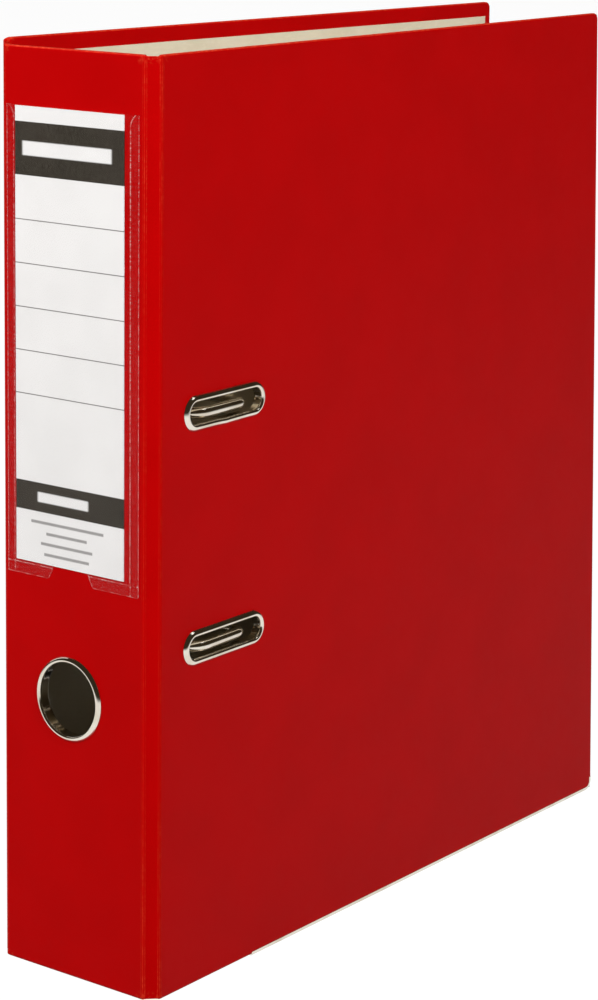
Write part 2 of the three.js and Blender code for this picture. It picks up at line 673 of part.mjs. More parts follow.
// Pressed bar that holds the sheets down, with a hole for each post and ears for the catch's pin.
function compressorBar() {
  const inset = (by) => roundedRectangle(
    BAR.x0 + by, -BAR.half + by, BAR.x1 - by, BAR.half - by, Array(4).fill(BAR.corner - by),
  );
  const postHole = (y) => extrude(disc(POST.x, y, BAR.postHole), 0, BAR.top + REACH, 10);
  const pressing = cut(
    extrude(inset(0), BAR.bottom, BAR.top, 8),
    extrude(inset(BAR.wall), BAR.bottom - REACH, BAR.top - BAR.sheet, 8),
    postHole(-WIRE.span),
    postHole(WIRE.span),
  );
  const earShape = () => lug(CATCH.pivotY, BAR.top - 0.5, CATCH.pivotZ, 1.6, CATCH.hole);
  const ear = (x) => acrossX(earShape(), x, x + BAR.ear);
  const edge = 0.2;
  return join(pressing, ear(BAR.x0 + edge), ear(BAR.x1 - edge - BAR.ear));
}

// Tilting plate that grips the lower post; its knuckle turns on the pin between the bar's ears.
function compressorCatch() {
  const side = new THREE.Shape();
  side.moveTo(CATCH.end, CATCH.bottom + 3.4);
  side.lineTo(CATCH.end + 0.6, CATCH.bottom + 1.4);
  side.lineTo(CATCH.end + 2.4, CATCH.bottom);
  side.lineTo(CATCH.pivotY + 0.5, CATCH.bottom);
  side.absarc(CATCH.pivotY, CATCH.pivotZ, CATCH.knuckle, -1.2, Math.PI / 2);
  side.lineTo(CATCH.pivotY - 2.4, CATCH.top);
  side.lineTo(CATCH.end + 2.8, CATCH.top);
  side.lineTo(CATCH.end + 1.6, CATCH.top + 0.8);
  side.lineTo(CATCH.end + 1, CATCH.bottom + 3.6);
  side.holes.push(disc(CATCH.pivotY, CATCH.pivotZ, CATCH.hole));
  return cut(
    acrossX(side, BAR.x0 + CATCH.side, BAR.x1 - CATCH.side),
    extrude(disc(POST.x, -WIRE.span, CATCH.postHole), 0, CATCH.top + CATCH.postHole, 10),
  );
}

function catchPin() {
  const end = (BAR.x1 - BAR.x0) / 2;
  return turnedAlongX([
    [0, -end - 0.5], [1.3, -end - 0.5], [1.3, -end + 0.1], [0.8, -end + 0.1], [0.8, end - 0.1],
    [1.3, end - 0.1], [1.3, end + 0.5], [0, end + 0.5],
  ], 16);
}

function buildMechanism(group) {
  addPiece(group, 'base_plate', 'steel', basePlate());
  addPiece(group, 'upper_post', 'nickel', post()).position.set(POST.x, WIRE.span, 0);
  addPiece(group, 'lower_post', 'nickel', post()).position.set(POST.x, -WIRE.span, 0);
  addPiece(group, 'arch_wire', 'nickel', archWire());
  addPiece(group, 'lever', 'nickel', lever());
  const leverPin = crossPin(LEVER.pin, LEVER.pinHead);
  addPiece(group, 'lever_pin', 'steel', leverPin).position.set(LEVER.x, LEVER.y, LEVER.z);
  const axleY = LEVER.y - ROLLER.offset;
  const axleZ = LEVER.z - ROLLER.offset;
  addPiece(group, 'roller', 'nylon', roller()).position.set(LEVER.x, axleY, axleZ);
  const rollerPin = crossPin(ROLLER.pin, ROLLER.pinHead);
  addPiece(group, 'roller_pin', 'steel', rollerPin).position.set(LEVER.x, axleY, axleZ);
  rivetCentres().forEach(([x, y], i) => {
    addPiece(group, `rivet_${i + 1}`, 'nickel', rivet()).position.set(x, y, 0);
  });
  addPiece(group, 'compressor_bar', 'nickel', compressorBar());
  addPiece(group, 'compressor_catch', 'steel', compressorCatch());
  const barMiddle = (BAR.x0 + BAR.x1) / 2;
  addPiece(group, 'catch_pin', 'steel', catchPin()).position.set(barMiddle, CATCH.pivotY, CATCH.pivotZ);
}

// ---- the file ----

const file = new THREE.Group();
const caseFrame = new THREE.Group();
caseFrame.position.copy(ORIGIN).negate();
file.add(caseFrame);

const FRONT_CREASE = CHAMFER + SPINE_WIDTH;
buildBackCover(caseFrame);
buildHingeStrip(caseFrame, 'back_hinge_strip', 0, CHAMFER, Math.SQRT1_2, -Math.SQRT1_2);
buildSpine(caseFrame);
buildHingeStrip(caseFrame, 'front_hinge_strip', FRONT_CREASE, 0, Math.SQRT1_2, Math.SQRT1_2);
buildFrontCover(caseFrame);

export default file;
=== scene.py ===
"""Looks of an A4 lever arch file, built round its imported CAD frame.

Shapes are made in panel coordinates, in millimetres: u runs along a panel from its crease, v is the
height, and depth is the distance below the panel's outer face. Panel.at() turns them into the row
frame, in metres.
"""

import math

import bmesh
import bpy
from mathutils import Matrix, Vector, noise


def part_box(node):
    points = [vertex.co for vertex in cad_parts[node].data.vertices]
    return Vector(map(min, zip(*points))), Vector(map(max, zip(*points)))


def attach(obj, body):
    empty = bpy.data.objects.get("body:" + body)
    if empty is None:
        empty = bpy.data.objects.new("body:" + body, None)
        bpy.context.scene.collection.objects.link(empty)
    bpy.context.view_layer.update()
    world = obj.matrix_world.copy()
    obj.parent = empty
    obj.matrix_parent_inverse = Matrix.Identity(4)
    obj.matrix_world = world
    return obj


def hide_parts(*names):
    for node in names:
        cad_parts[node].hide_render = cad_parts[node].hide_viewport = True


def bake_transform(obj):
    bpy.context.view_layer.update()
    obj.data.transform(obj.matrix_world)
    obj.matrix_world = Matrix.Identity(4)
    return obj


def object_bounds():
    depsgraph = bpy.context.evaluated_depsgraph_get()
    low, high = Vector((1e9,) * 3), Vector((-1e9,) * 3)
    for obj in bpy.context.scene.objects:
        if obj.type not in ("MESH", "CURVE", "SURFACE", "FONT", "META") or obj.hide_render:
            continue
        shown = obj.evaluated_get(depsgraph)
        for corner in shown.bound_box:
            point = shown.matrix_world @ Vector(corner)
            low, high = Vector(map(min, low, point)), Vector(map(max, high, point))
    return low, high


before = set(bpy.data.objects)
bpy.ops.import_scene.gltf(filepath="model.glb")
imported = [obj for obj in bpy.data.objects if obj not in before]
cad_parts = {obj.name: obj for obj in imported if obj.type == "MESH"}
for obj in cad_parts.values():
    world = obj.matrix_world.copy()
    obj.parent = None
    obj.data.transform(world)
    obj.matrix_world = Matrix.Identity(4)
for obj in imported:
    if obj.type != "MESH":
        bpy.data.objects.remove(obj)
cad_low, cad_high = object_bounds()

MM = 0.001

# ---- driving dimensions, as the CAD has them, in millimetres ----

HEIGHT = 318.0
BACK_RISE = 2.0  # the back cover stands this much higher than the spine
STRETCH_FROM, STRETCH_TO = 230.0, HEIGHT - 6  # the extra height is taken up between these heights
COVER = 280.9  # crease to fore-edge
SPINE = 63.0  # between the spine's two creases
CHAMFER = 4.1  # each hinge strip cuts the corner of the case by this much
LEAN = math.radians(2.8)  # the front cover leans towards the back cover
TWIST = 2.5  # the front cover's board is warped by this much at its fore-edge corners
PANEL = 2.45  # thickness of a finished panel
FILM = 0.25
TURN_IN = 4.2  # film folded over onto the inner face
LINING = 0.2
EDGE = 0.85  # rounding of the film round the board
FLOOR = 0.42  # lower edge of the film
SEAM = 2.0  # the hinge pieces start this far from each crease
STRIP = 0.5  # thickness of the hinge between the boards
RAIL_START, RAIL_LEG, RAIL_RISE, RAIL_RADIUS = 51.0, 1.3, 5.0, 4.0
TOP_RADIUS = 2.5
RING_U, RING_V = 29.6, 98.3
SLOT_U, SLOT_V, SLOT_SPACING, SLOT_CORE = 34.15, 158.1, 80.0, 16.15
CARD = (5.6, 54.5, 143.2, 298.1)  # u from, u to, v from, v to
SHAFT_U, SHAFT_V = 9.9, 157.2  # the arch shaft, on the back cover
ARCH_SPAN = 40.0
POST_U, POST_TOP, POST_RADIUS, POST_RIM = 37.8, 41.5, 2.6, 0.3
CONE_SLOPE = math.tan(math.radians(50))  # of an arch's tip and of the recess that it closes into
WIRE_RADIUS, SHAFT_RISE, TIP_RADIUS, TIP_GAP = 2.0, 3.7, 0.35, 0.45
ARCH_CORNERS = [(POST_U, 64.3, 5), (10.5, 66.3, 8), (3.0, 45, 25), (0, SHAFT_RISE, 5)]  # x, z, bend
CRANK_CORNERS = [(0, 15.6), (10, 15.6), (10, -4), (0, -4)]  # x, y
CRANK_BEND = 3.2

# ---- panels ----


class Panel:
    """Local axes of one flat part of the case. warp(u, v) bends it inwards; rise makes it taller."""

    def __init__(self, crease, along, inward, warp=None, rise=0.0):
        self.crease = Vector((*crease, 0))
        self.along = Vector((*along, 0)).normalized()
        self.inward = Vector((*inward, 0)).normalized()
        self.warp = warp
        self.rise = rise

    def flat(self, u, depth):
        """Point in plan, in millimetres."""
        return self.crease + self.along * u + self.inward * depth

    def at(self, u, v, depth):
        if self.warp:
            depth += self.warp(u, v)
        point = self.flat(u, depth)
        return Vector((point.x, point.y, raised(v, self.rise))) * MM


def smooth_share(value, low, high):
    """0 below low, 1 above high, smooth between them."""
    t = max(0.0, min(1.0, (value - low) / (high - low)))
    return t * t * (3 - 2 * t)


def raised(v, rise):
    """Height of a point once its panel's upper part is stretched to stand higher by rise."""
    return v + rise * smooth_share(v, STRETCH_FROM, STRETCH_TO)


def twisted(u, v):
    """How far the front cover's board bends inwards: at the top of its fore-edge, outwards below."""
    return TWIST * (u / COVER) * (2 * v / HEIGHT - 1)


BACK_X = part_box("back_film")[0].x / MM  # outer face of the back cover
SPINE_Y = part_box("spine_film")[0].y / MM  # outer face of the spine
CREASES = {
    "back_cover": (BACK_X, SPINE_Y + CHAMFER),
    "back_spine": (BACK_X + CHAMFER, SPINE_Y),
    "front_spine": (BACK_X + CHAMFER + SPINE, SPINE_Y),
    "front_cover": (BACK_X + 2 * CHAMFER + SPINE, SPINE_Y + CHAMFER),
}
back = Panel(CREASES["back_cover"], (0, 1), (1, 0), rise=BACK_RISE)
spine = Panel(CREASES["back_spine"], (1, 0), (0, 1))
front = Panel(
    CREASES["front_cover"],
    (-math.sin(LEAN), math.cos(LEAN)),
    (-math.cos(LEAN), -math.sin(LEAN)),
    twisted,
)

# ---- materials ----


class Graph:
    """A material's node tree, with short calls for the nodes that this file uses."""

    def __init__(self, name):
        self.material = bpy.data.materials.new(name)
        self.material.use_nodes = True
        self.tree = self.material.node_tree
        self.tree.nodes.clear()
        self.output = self.node("ShaderNodeOutputMaterial")

    def node(self, kind, inputs=None, **settings):
        made = self.tree.nodes.new(kind)
        for key, value in settings.items():
            setattr(made, key, value)
        for key, value in (inputs or {}).items():
            self.put(made.inputs[key], value)
        return made

    def put(self, socket, value):
        if isinstance(value, bpy.types.NodeSocket):
            self.tree.links.new(value, socket)
        else:
            socket.default_value = value

    def math(self, operation, *values):
        made = self.node("ShaderNodeMath", operation=operation)
        for socket, value in zip(made.inputs, values):
            self.put(socket, value)
        return made.outputs[0]

    def total(self, values):
        result = values[0]
        for value in values[1:]:
            result = self.math("ADD", result, value)
        return result

    def product(self, *values):
        result = values[0]
        for value in values[1:]:
            result = self.math("MULTIPLY", result, value)
        return result

    def map(self, name):
        """The x and y of a UV map, in millimetres."""
        uv = self.node("ShaderNodeUVMap", uv_map=name)
        split = self.node("ShaderNodeSeparateXYZ", {0: uv.outputs[0]})
        return split.outputs[0], split.outputs[1]

    def position(self):
        return self.node("ShaderNodeTexCoord").outputs["Object"]

    def noise(self, scale, detail=3.0, vector=None, roughness=0.5):
        inputs = {"Scale": scale, "Detail": detail, "Roughness": roughness}
        inputs["Vector"] = self.position() if vector is None else vector
        return self.node("ShaderNodeTexNoise", inputs).outputs[0]

    def stretched(self, x, y, z):
        """Object coordinates, scaled on each axis."""
        mapping = self.node("ShaderNodeMapping", {"Vector": self.position(), "Scale": (x, y, z)})
        return mapping.outputs[0]

    def ramp(self, value, low, high):
        """0 below low, 1 above high, smooth between them."""
        made = self.node(
            "ShaderNodeMapRange", {0: value, 1: low, 2: high}, interpolation_type="SMOOTHSTEP"
        )
        return made.outputs[0]

    def line(self, value, centre, half):
        """1 on the line value = centre, falling to 0 at half either side."""
        off = self.math("ABSOLUTE", self.math("SUBTRACT", value, centre))
        return self.math("SUBTRACT", 1.0, self.ramp(off, half * 0.3, half))

    def band(self, value, low, high, blur=0.12):
        """1 between low and high, and 0 outside."""
        rise = self.ramp(value, low - blur, low + blur)
        return self.product(rise, self.ramp(value, high + blur, high - blur))

    def mix(self, share, first, second):
        made = self.node("ShaderNodeMix", data_type="RGBA")
        self.put(made.inputs[0], share)
        self.put(made.inputs[6], first)
        self.put(made.inputs[7], second)
        return made.outputs[2]

    def between(self, share, low, high):
        """A number that runs from low to high as share runs from 0 to 1."""
        return self.node("ShaderNodeMapRange", {0: share, 3: low, 4: high}).outputs[0]

    def bump(self, height, strength, distance, normal=None):
        """A normal for a relief of that height, over another bump's normal where it is given."""
        inputs = {"Height": height, "Strength": strength, "Distance": distance}
        if normal is not None:
            inputs["Normal"] = normal
        return self.node("ShaderNodeBump", inputs).outputs[0]

    def surface(self, **inputs):
        """The material's Principled shader; underscores in the names stand for spaces."""
        named = {key.replace("_", " "): value for key, value in inputs.items()}
        shader = self.node("ShaderNodeBsdfPrincipled", named)
        self.put(self.output.inputs[0], shader.outputs[0])
        return shader


RED = (0.385, 0.0006, 0.0010, 1)
RED_DEEP = (0.360, 0.0005, 0.0008, 1)
# the next colour is worn film, and along the free edges also a painted highlight
RED_WORN_AND_LIT = (0.80, 0.10, 0.035, 1)
CREAM = (0.60, 0.535, 0.405, 1)
CREAM_DARK = (0.565, 0.50, 0.37, 1)
FIBRE, FLECK = (0.72, 0.66, 0.52, 1), (0.40, 0.33, 0.22, 1)
GREY_BOARD, GREY_BOARD_DARK = (0.42, 0.37, 0.29, 1), (0.30, 0.26, 0.20, 1)
WHITE, WHITE_SHADE = (0.74, 0.74, 0.73, 1), (0.71, 0.71, 0.70, 1)
INK, INK_FADED = (0.020, 0.016, 0.011, 1), (0.045, 0.04, 0.03, 1)
BLACK, BLACK_WORN = (0.018, 0.017, 0.016, 1), (0.035, 0.033, 0.03, 1)
NICKEL, NICKEL_DULL = (0.80, 0.74, 0.64, 1), (0.66, 0.58, 0.46, 1)
ZINC, ZINC_DULL = (0.62, 0.61, 0.58, 1), (0.48, 0.46, 0.42, 1)
CLEAR, MILKY = (0.985, 0.98, 0.98, 1), (0.95, 0.70, 0.66, 1)
FLOOR_GREY, FLOOR_GREY_LIGHT = (0.07, 0.07, 0.07, 1), (0.08, 0.08, 0.08, 1)

EMBOSS_PITCH = 0.62
RIDGE = 0.56  # pitch of the ridges that the welding tool leaves


def film_material():
    """Embossed plastic film. The emboss shows as dots where it has worn at creases and edges; the light
    line along its free edges is wear and partly a painted highlight.
    """
    g = Graph("embossed red film")
    u, v = g.map("panel")
    crease, free = g.map("edge")
    turn = 2 * math.pi / EMBOSS_PITCH / math.sqrt(2)
    rising = g.math("SINE", g.product(g.math("ADD", u, v), turn))
    falling = g.math("SINE", g.product(g.math("SUBTRACT", u, v), turn))
    lattice = g.product(rising, falling)
    dots = g.ramp(lattice, -0.1, 0.7)
    specks = g.ramp(g.noise(950, 1.0), 0.47, 0.60)
    patches = g.noise(35, 3.0)
    lines = g.total([g.line(crease, 0.05, 0.26), g.product(g.line(crease, 0.75, 0.22), 0.8)])
    faded = g.between(g.ramp(free, 90.0, 5.0), 0.30, 0.8)
    rubbed = g.between(g.ramp(patches, 0.34, 0.60), 0.35, 1.0)
    thread = g.product(g.between(specks, 0.35, 1.0), g.between(dots, 0.4, 1.0))
    crease_wear = g.product(lines, thread, rubbed, faded)
    corner_wear = g.product(g.ramp(crease, 3.4, 2.2), g.ramp(free, 3.6, 1.0), dots, specks, 0.9)
    # along the free edges: a light line that is wear and partly a painted highlight
    edge_wear_and_highlight_line = g.line(free, 0.12, 0.42)
    edge_wear_and_highlight = g.product(edge_wear_and_highlight_line, g.between(specks, 0.25, 0.9))
    wear_and_edge_highlight = g.math("MAXIMUM", g.math("MAXIMUM", crease_wear, corner_wear), edge_wear_and_highlight)
    tone = g.mix(g.ramp(patches, 0.3, 0.7), RED, RED_DEEP)
    colour = g.mix(g.product(wear_and_edge_highlight, 0.5), tone, RED_WORN_AND_LIT)
    grain = g.noise(1400, 2.0)
    emboss = g.bump(g.math("ADD", g.product(lattice, 0.7), grain), 0.28, 0.00005)
    waves = g.bump(g.noise(9, 1.0), 0.05, 0.001, emboss)
    g.surface(
        Base_Color=colour,
        Roughness=g.between(g.noise(220, 4.0), 0.40, 0.52),
        Specular_IOR_Level=0.07,
        Specular_Tint=(1.0, 0.10, 0.08, 1),
        Normal=waves,
    )
    return g.material


def paper_material():
    """Uncoated lining paper with faint fibres."""
    g = Graph("cream lining paper")
    fibres = g.noise(1.0, 5.0, g.stretched(900, 260, 900), 0.65)
    cloud = g.noise(60, 3.0)
    specks = g.ramp(g.noise(700, 1.0), 0.66, 0.74)
    tone = g.mix(g.ramp(cloud, 0.3, 0.7), CREAM, CREAM_DARK)
    flecked = g.mix(g.product(specks, 0.06), tone, FLECK)
    g.surface(
        Base_Color=g.mix(g.product(g.ramp(fibres, 0.45, 0.75), 0.25), flecked, FIBRE),
        Roughness=g.between(fibres, 0.75, 0.92),
        Specular_IOR_Level=0.25,
        Normal=g.bump(fibres, 0.35, 0.00008),
    )
    return g.material


def board_material():
    """Grey board with pressed fibres."""
    g = Graph("grey board")
    fibres = g.noise(1.0, 6.0, g.stretched(1100, 300, 500), 0.7)
    g.surface(
        Base_Color=g.mix(g.ramp(fibres, 0.35, 0.7), GREY_BOARD_DARK, GREY_BOARD),
        Roughness=0.95,
        Normal=g.bump(fibres, 0.5, 0.0002),
    )
    return g.material


def metal_material(name, colour, tarnish, roughness, scratches):
    """Plated steel: fine drawn scratches, and a little tarnish in patches."""
    g = Graph(name)
    drawn = g.noise(1.0, 3.0, g.stretched(2400, 260, 2400), 0.6)
    cloud = g.noise(90, 4.0)
    g.surface(
        Base_Color=g.mix(g.ramp(cloud, 0.42, 0.72), colour, tarnish),
        Metallic=1.0,
        Roughness=g.between(g.product(cloud, drawn), roughness * 0.7, roughness * 1.9),
        Normal=g.bump(drawn, scratches, 0.00004),
    )
    return g.material


def nylon_material():
    """Moulded black nylon, a little worn."""
    g = Graph("black nylon")
    g.surface(
        Base_Color=g.mix(g.noise(300, 2.0), BLACK, BLACK_WORN),
        Roughness=g.between(g.noise(500, 3.0), 0.35, 0.55),
        Normal=g.bump(g.noise(900, 2.0), 0.15, 0.00005),
    )
    return g.material


# Printed parts of the label, in the spine's (u, v): plain bands, ruled lines and blank bars.
INK_BANDS = [(274.9, 292.9), (161.0, 171.0)]
RULES = [260.0, 245.2, 230.4, 215.7, 200.9]
WHITE_BARS = [(9.0, 49.0, 281.6, 286.4), (15.6, 38.6, 164.4, 167.8)]
GREY_BARS = [(12.5, 45.5, 156.9, 157.9), (19.5, 38.0, 153.3, 154.3), (17.0, 40.5, 149.7, 150.7),
             (18.5, 39.0, 146.1, 147.1)]


def label_material():
    """Printed card: two solid bands, five ruled lines, and plain bars where a maker prints text."""
    g = Graph("printed label card")
    u, v = g.map("panel")
    bands = g.total([g.band(v, low, high) for low, high in INK_BANDS])
    bars = [g.product(g.band(u, u0, u1, 0.6), g.band(v, v0, v1, 0.3)) for u0, u1, v0, v1 in WHITE_BARS]
    printed = g.product(bands, g.math("SUBTRACT", 1.0, g.total(bars)))
    rules = g.total([g.line(v, height, 0.26) for height in RULES])
    small = [g.product(g.band(u, u0, u1), g.band(v, v0, v1, 0.2)) for u0, u1, v0, v1 in GREY_BARS]
    inked = g.total([printed, g.product(rules, 0.8), g.product(g.total(small), 0.62)])
    fibres = g.noise(900, 4.0)
    paper = g.mix(g.ramp(g.noise(50, 2.0), 0.3, 0.7), WHITE, WHITE_SHADE)
    ink = g.mix(g.ramp(g.noise(2500, 2.0), 0.35, 0.7), INK, INK_FADED)
    g.surface(
        Base_Color=g.mix(g.math("MINIMUM", inked, 1.0), paper, ink),
        Roughness=g.between(fibres, 0.5, 0.7),
        Specular_IOR_Level=0.3,
        Normal=g.bump(fibres, 0.1, 0.00005),
    )
    return g.material


def pocket_material():
    """Clear welded plastic: glossy where it is free, milky along its welds and cut edges; the milky stripes
    on the weld ridges are partly a painted highlight.
    """
    g = Graph("clear welded pocket")
    weld, along = g.map("edge")
    broken = g.between(g.ramp(g.noise(1.0, 2.0, g.stretched(500, 500, 1100)), 0.42, 0.58), 0.12, 1.0)
    _, v = g.map("panel")
    # stripes along the weld ridges: milky weld, and partly a painted highlight where the ridges catch light
    ridge_milk_and_highlight = g.ramp(g.math("SINE", g.product(v, 2 * math.pi / RIDGE)), -0.2, 0.9)
    rims = g.product(g.line(weld, 0.0, 0.24), broken, g.between(ridge_milk_and_highlight, 0.35, 1.0), 0.30)
    welded = g.product(g.ramp(along, 0.4, 0.6), ridge_milk_and_highlight, broken, 0.010)
    haze = g.product(g.ramp(g.noise(60, 2.0), 0.35, 0.7), 0.002)
    milky = g.math("MINIMUM", g.total([rims, welded, haze]), 0.85)
    facing = g.node("ShaderNodeLayerWeight").outputs["Facing"]
    sheen = g.math("ADD", g.product(g.math("POWER", facing, 5.0), 0.4), 0.004)
    ripple = g.bump(g.noise(1.0, 2.0, g.stretched(90, 90, 35)), 0.10, 0.0004)
    clear = g.node("ShaderNodeBsdfTransparent", {0: CLEAR})
    gloss = g.node("ShaderNodeBsdfGlossy", {"Roughness": 0.10, "Normal": ripple})
    film = g.node("ShaderNodeMixShader", {0: sheen, 1: clear.outputs[0], 2: gloss.outputs[0]})
    white = g.node(
        "ShaderNodeBsdfPrincipled",
        {"Base Color": MILKY, "Roughness": 0.3, "Normal": ripple},
    )
    both = g.node("ShaderNodeMixShader", {0: milky, 1: film.outputs[0], 2: white.outputs[0]})
    g.put(g.output.inputs[0], both.outputs[0])
    return g.material


film = film_material()
lining = paper_material()
board = board_material()
nickel = metal_material("polished nickel plate", NICKEL, NICKEL_DULL, 0.14, 0.08)
steel = metal_material("zinc plated steel", ZINC, ZINC_DULL, 0.30, 0.25)
nylon = nylon_material()
label = label_material()
pocket_film = pocket_material()

# ---- making pieces ----


FAR = (99.0, 99.0)  # edge map of a piece that has no worn edges


def fill_maps(bm, edge_of):
    """Writes the panel map (u, v) and the edge map of a bmesh that is still in (u, v, depth)."""
    panel_map = bm.loops.layers.uv.new("panel")
    edge_map = bm.loops.layers.uv.new("edge")
    for face in bm.faces:
        face.smooth = True
        for loop in face.loops:
            loop[panel_map].uv = loop.vert.co.xy
            loop[edge_map].uv = edge_of(loop.vert)


def add_object(name, bm, materials):
    mesh = bpy.data.meshes.new(name)
    bm.to_mesh(mesh)
    bm.free()
    for material in materials:
        mesh.materials.append(material)
    made = bpy.data.objects.new(name, mesh)
    bpy.context.scene.collection.objects.link(made)
    return made


def shade_smooth(piece, angle):
    """Smooth shading, with sharp edges where faces meet at more than that angle."""
    piece.data.set_sharp_from_angle(angle=math.radians(angle))
    weighted = piece.modifiers.new("weighted normals", "WEIGHTED_NORMAL")
    weighted.keep_sharp = True


def make_piece(name, bm, place, materials, body, replaced, edge=None, angle=35):
    """Turns a bmesh in (u, v, depth) into a piece that rides on a body. edge(u, v) fills its edge map."""
    fill_maps(bm, lambda vert: edge(vert.co.x, vert.co.y) if edge else FAR)
    for vert in bm.verts:
        vert.co = place(*vert.co)
    bmesh.ops.recalc_face_normals(bm, faces=bm.faces[:])
    piece = add_object(name, bm, materials)
    shade_smooth(piece, angle)
    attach(piece, body)
    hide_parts(*replaced)


def arc(centre, radius, start, end, steps):
    """Points on an arc, with its angles in degrees."""
    points = []
    for step in range(steps + 1):
        angle = math.radians(start + (end - start) * step / steps)
        points.append((centre[0] + radius * math.cos(angle), centre[1] + radius * math.sin(angle)))
    return points


def smooth_loop(points, pieces):
    """Closed Catmull-Rom curve through the points, with each span cut into that many pieces."""
    count = len(points)
    result = []
    for i in range(count):
        p = [Vector(points[(i + k) % count]) for k in (-1, 0, 1, 2)]
        for step in range(pieces):
            t = step / pieces
            result.append(
                0.5
                * (
                    2 * p[1]
                    + (p[2] - p[0]) * t
                    + (2 * p[0] - 5 * p[1] + 4 * p[2] - p[3]) * t * t
                    + (3 * p[1] - p[0] - 3 * p[2] + p[3]) * t**3
                )
            )
    return result


def bridge(bm, rows, closed_ring=False):
    """Quads between closed rows of vertices, and from the last row to the first if the ring closes."""
    pairs = list(zip(rows, rows[1:]))
    if closed_ring:
        pairs.append((rows[-1], rows[0]))
    for first, second in pairs:
        count = len(first)
        for i in range(count):
            k = (i + 1) % count
            bm.faces.new((first[i], first[k], second[k], second[i]))


def loft(bm, rows, closed_ring=False):
    """Quads between closed rows of points. Returns the rows of vertices."""
    made = [[bm.verts.new(point) for point in row] for row in rows]
    bridge(bm, made, closed_ring)
    return made


def cap(bm, rings):
    for ring in rings:
        bm.faces.new(ring)


def fill(bm, loops):
    """Triangles over the area inside the first loop of vertices and outside the others."""
    edges = []
    for loop in loops:
        for a, b in zip(loop, loop[1:] + loop[:1]):
            edges.append(bm.edges.get((a, b)) or bm.edges.new((a, b)))
    bmesh.ops.triangle_fill(bm, edges=edges, use_beauty=True, use_dissolve=False)


def slice_grid(bm, us, vs):
    """Cuts every face along lines of constant u and v, so that the piece can bend."""
    for axis, values in ((0, us), (1, vs)):
        normal = Vector((0, 0, 0))
        normal[axis] = 1
        for value in values:
            everything = bm.verts[:] + bm.edges[:] + bm.faces[:]
            bmesh.ops.bisect_plane(bm, geom=everything, plane_co=normal * value, plane_no=normal)


def stadium(u, v, core, radius, steps=14):
    """Outline of a slot with round ends, or of a circle where core is 0."""
    ends = [arc((u + core, v), radius, -90, 90, steps), arc((u - core, v), radius, 90, 270, steps)]
    points = ends[0] + ends[1]
    return points if core else points[:steps] + points[steps + 1 : -1]


# ---- covers and spine: film, lining and board ----


def wrap_profile(turn_in):
    """(inset, depth) round a wrapped edge: outer sheet, round the board, turn-in, and back inside."""
    profile = []
    for angle in range(0, 91, 15):
        a = math.radians(angle)
        profile.append((EDGE - EDGE * math.sin(a), EDGE - EDGE * math.cos(a)))
    for angle in range(0, 91, 15):
        a = math.radians(angle)
        profile.append((EDGE - EDGE * math.cos(a), PANEL - EDGE + EDGE * math.sin(a)))
    profile += [(turn_in - 0.1, PANEL), (turn_in, PANEL - 0.06), (turn_in, PANEL - FILM)]
    inner = EDGE - FILM
    for angle in range(90, -1, -30):
        a = math.radians(angle)
        profile.append((EDGE - inner * math.cos(a), PANEL - EDGE + inner * math.sin(a)))
    for angle in range(90, -1, -30):
        a = math.radians(angle)
        profile.append((EDGE - inner * math.sin(a), EDGE - inner * math.cos(a)))
    return profile


def cover_outline(inset):
    """A cover's edge from its lower seam round the fore-edge to its upper seam, moved inwards."""
    points = [(SEAM, FLOOR + inset)]
    lower, upper = RAIL_RADIUS - FLOOR, TOP_RADIUS
    corners = [((COVER - lower, FLOOR + lower), lower, -90), ((COVER - upper, HEIGHT - upper), upper, 0)]
    for centre, radius, start in corners:
        if inset < radius:
            points += arc(centre, radius - inset, start, start + 90, 6)
        else:
            side = -1 if start else 1
            points += [(COVER - inset, centre[1] + side * (radius - inset))] * 7
    return points + [(SEAM, HEIGHT - inset)]


def spine_outline(inset):
    """The spine's edge, moved inwards at the top and bottom."""
    low, high = FLOOR + inset, HEIGHT - inset
    return [(SEAM, low), (SPINE - SEAM, low), (SPINE - SEAM, high), (SEAM, high)]


def film_shell(outline, skipped, holes, turn_in):
    """Shell of film round a board. skipped are the outline's open segments, at the hinges."""
    bm = bmesh.new()
    profile = wrap_profile(turn_in)
    loops = [[bm.verts.new((u, v, depth)) for u, v in outline(inset)] for inset, depth in profile]
    count = len(loops[0])
    for first, second in zip(loops, loops[1:]):
        for i in range(count):
            if i not in skipped:
                k = (i + 1) % count
                bm.faces.new((first[i], first[k], second[k], second[i]))
    walls = []
    for hole in holes:
        walls.append([[bm.verts.new((u, v, depth)) for u, v in hole] for depth in (0, FILM)])
        bridge(bm, walls[-1])
    fill(bm, [loops[0]] + [wall[0] for wall in walls])
    fill(bm, [loops[-1]] + [wall[1] for wall in walls])
    bmesh.ops.remove_doubles(bm, verts=bm.verts[:], dist=1e-4)
    bmesh.ops.holes_fill(bm, edges=[e for e in bm.edges if e.is_boundary], sides=0)
    return bm


def cover_edge(u, v):
    """(distance from the crease, distance from the nearest free edge) on a cover."""
    return (u, min(v - FLOOR, HEIGHT - v, COVER - u))


def spine_edge(u, v):
    """The same two distances on the spine."""
    return (min(u, SPINE - u), min(v - FLOOR, HEIGHT - v))


def steps_to(start, end, count):
    """The points that cut a span into that many equal parts, without its ends."""
    return [start + (end - start) * i / count for i in range(1, count)]


V_LINES = [2, 4, 6, 9] + steps_to(9, HEIGHT - 9, 14) + [HEIGHT - 9, HEIGHT - 6, HEIGHT - 4, HEIGHT - 2]
COVER_LINES = [3, 4, 6, 9] + steps_to(9, COVER - 8, 12) + [COVER - 8, COVER - 5, COVER - 2]
SPINE_LINES = [3, 4, 6, SPINE / 2, SPINE - 6, SPINE - 4, SPINE - 3]


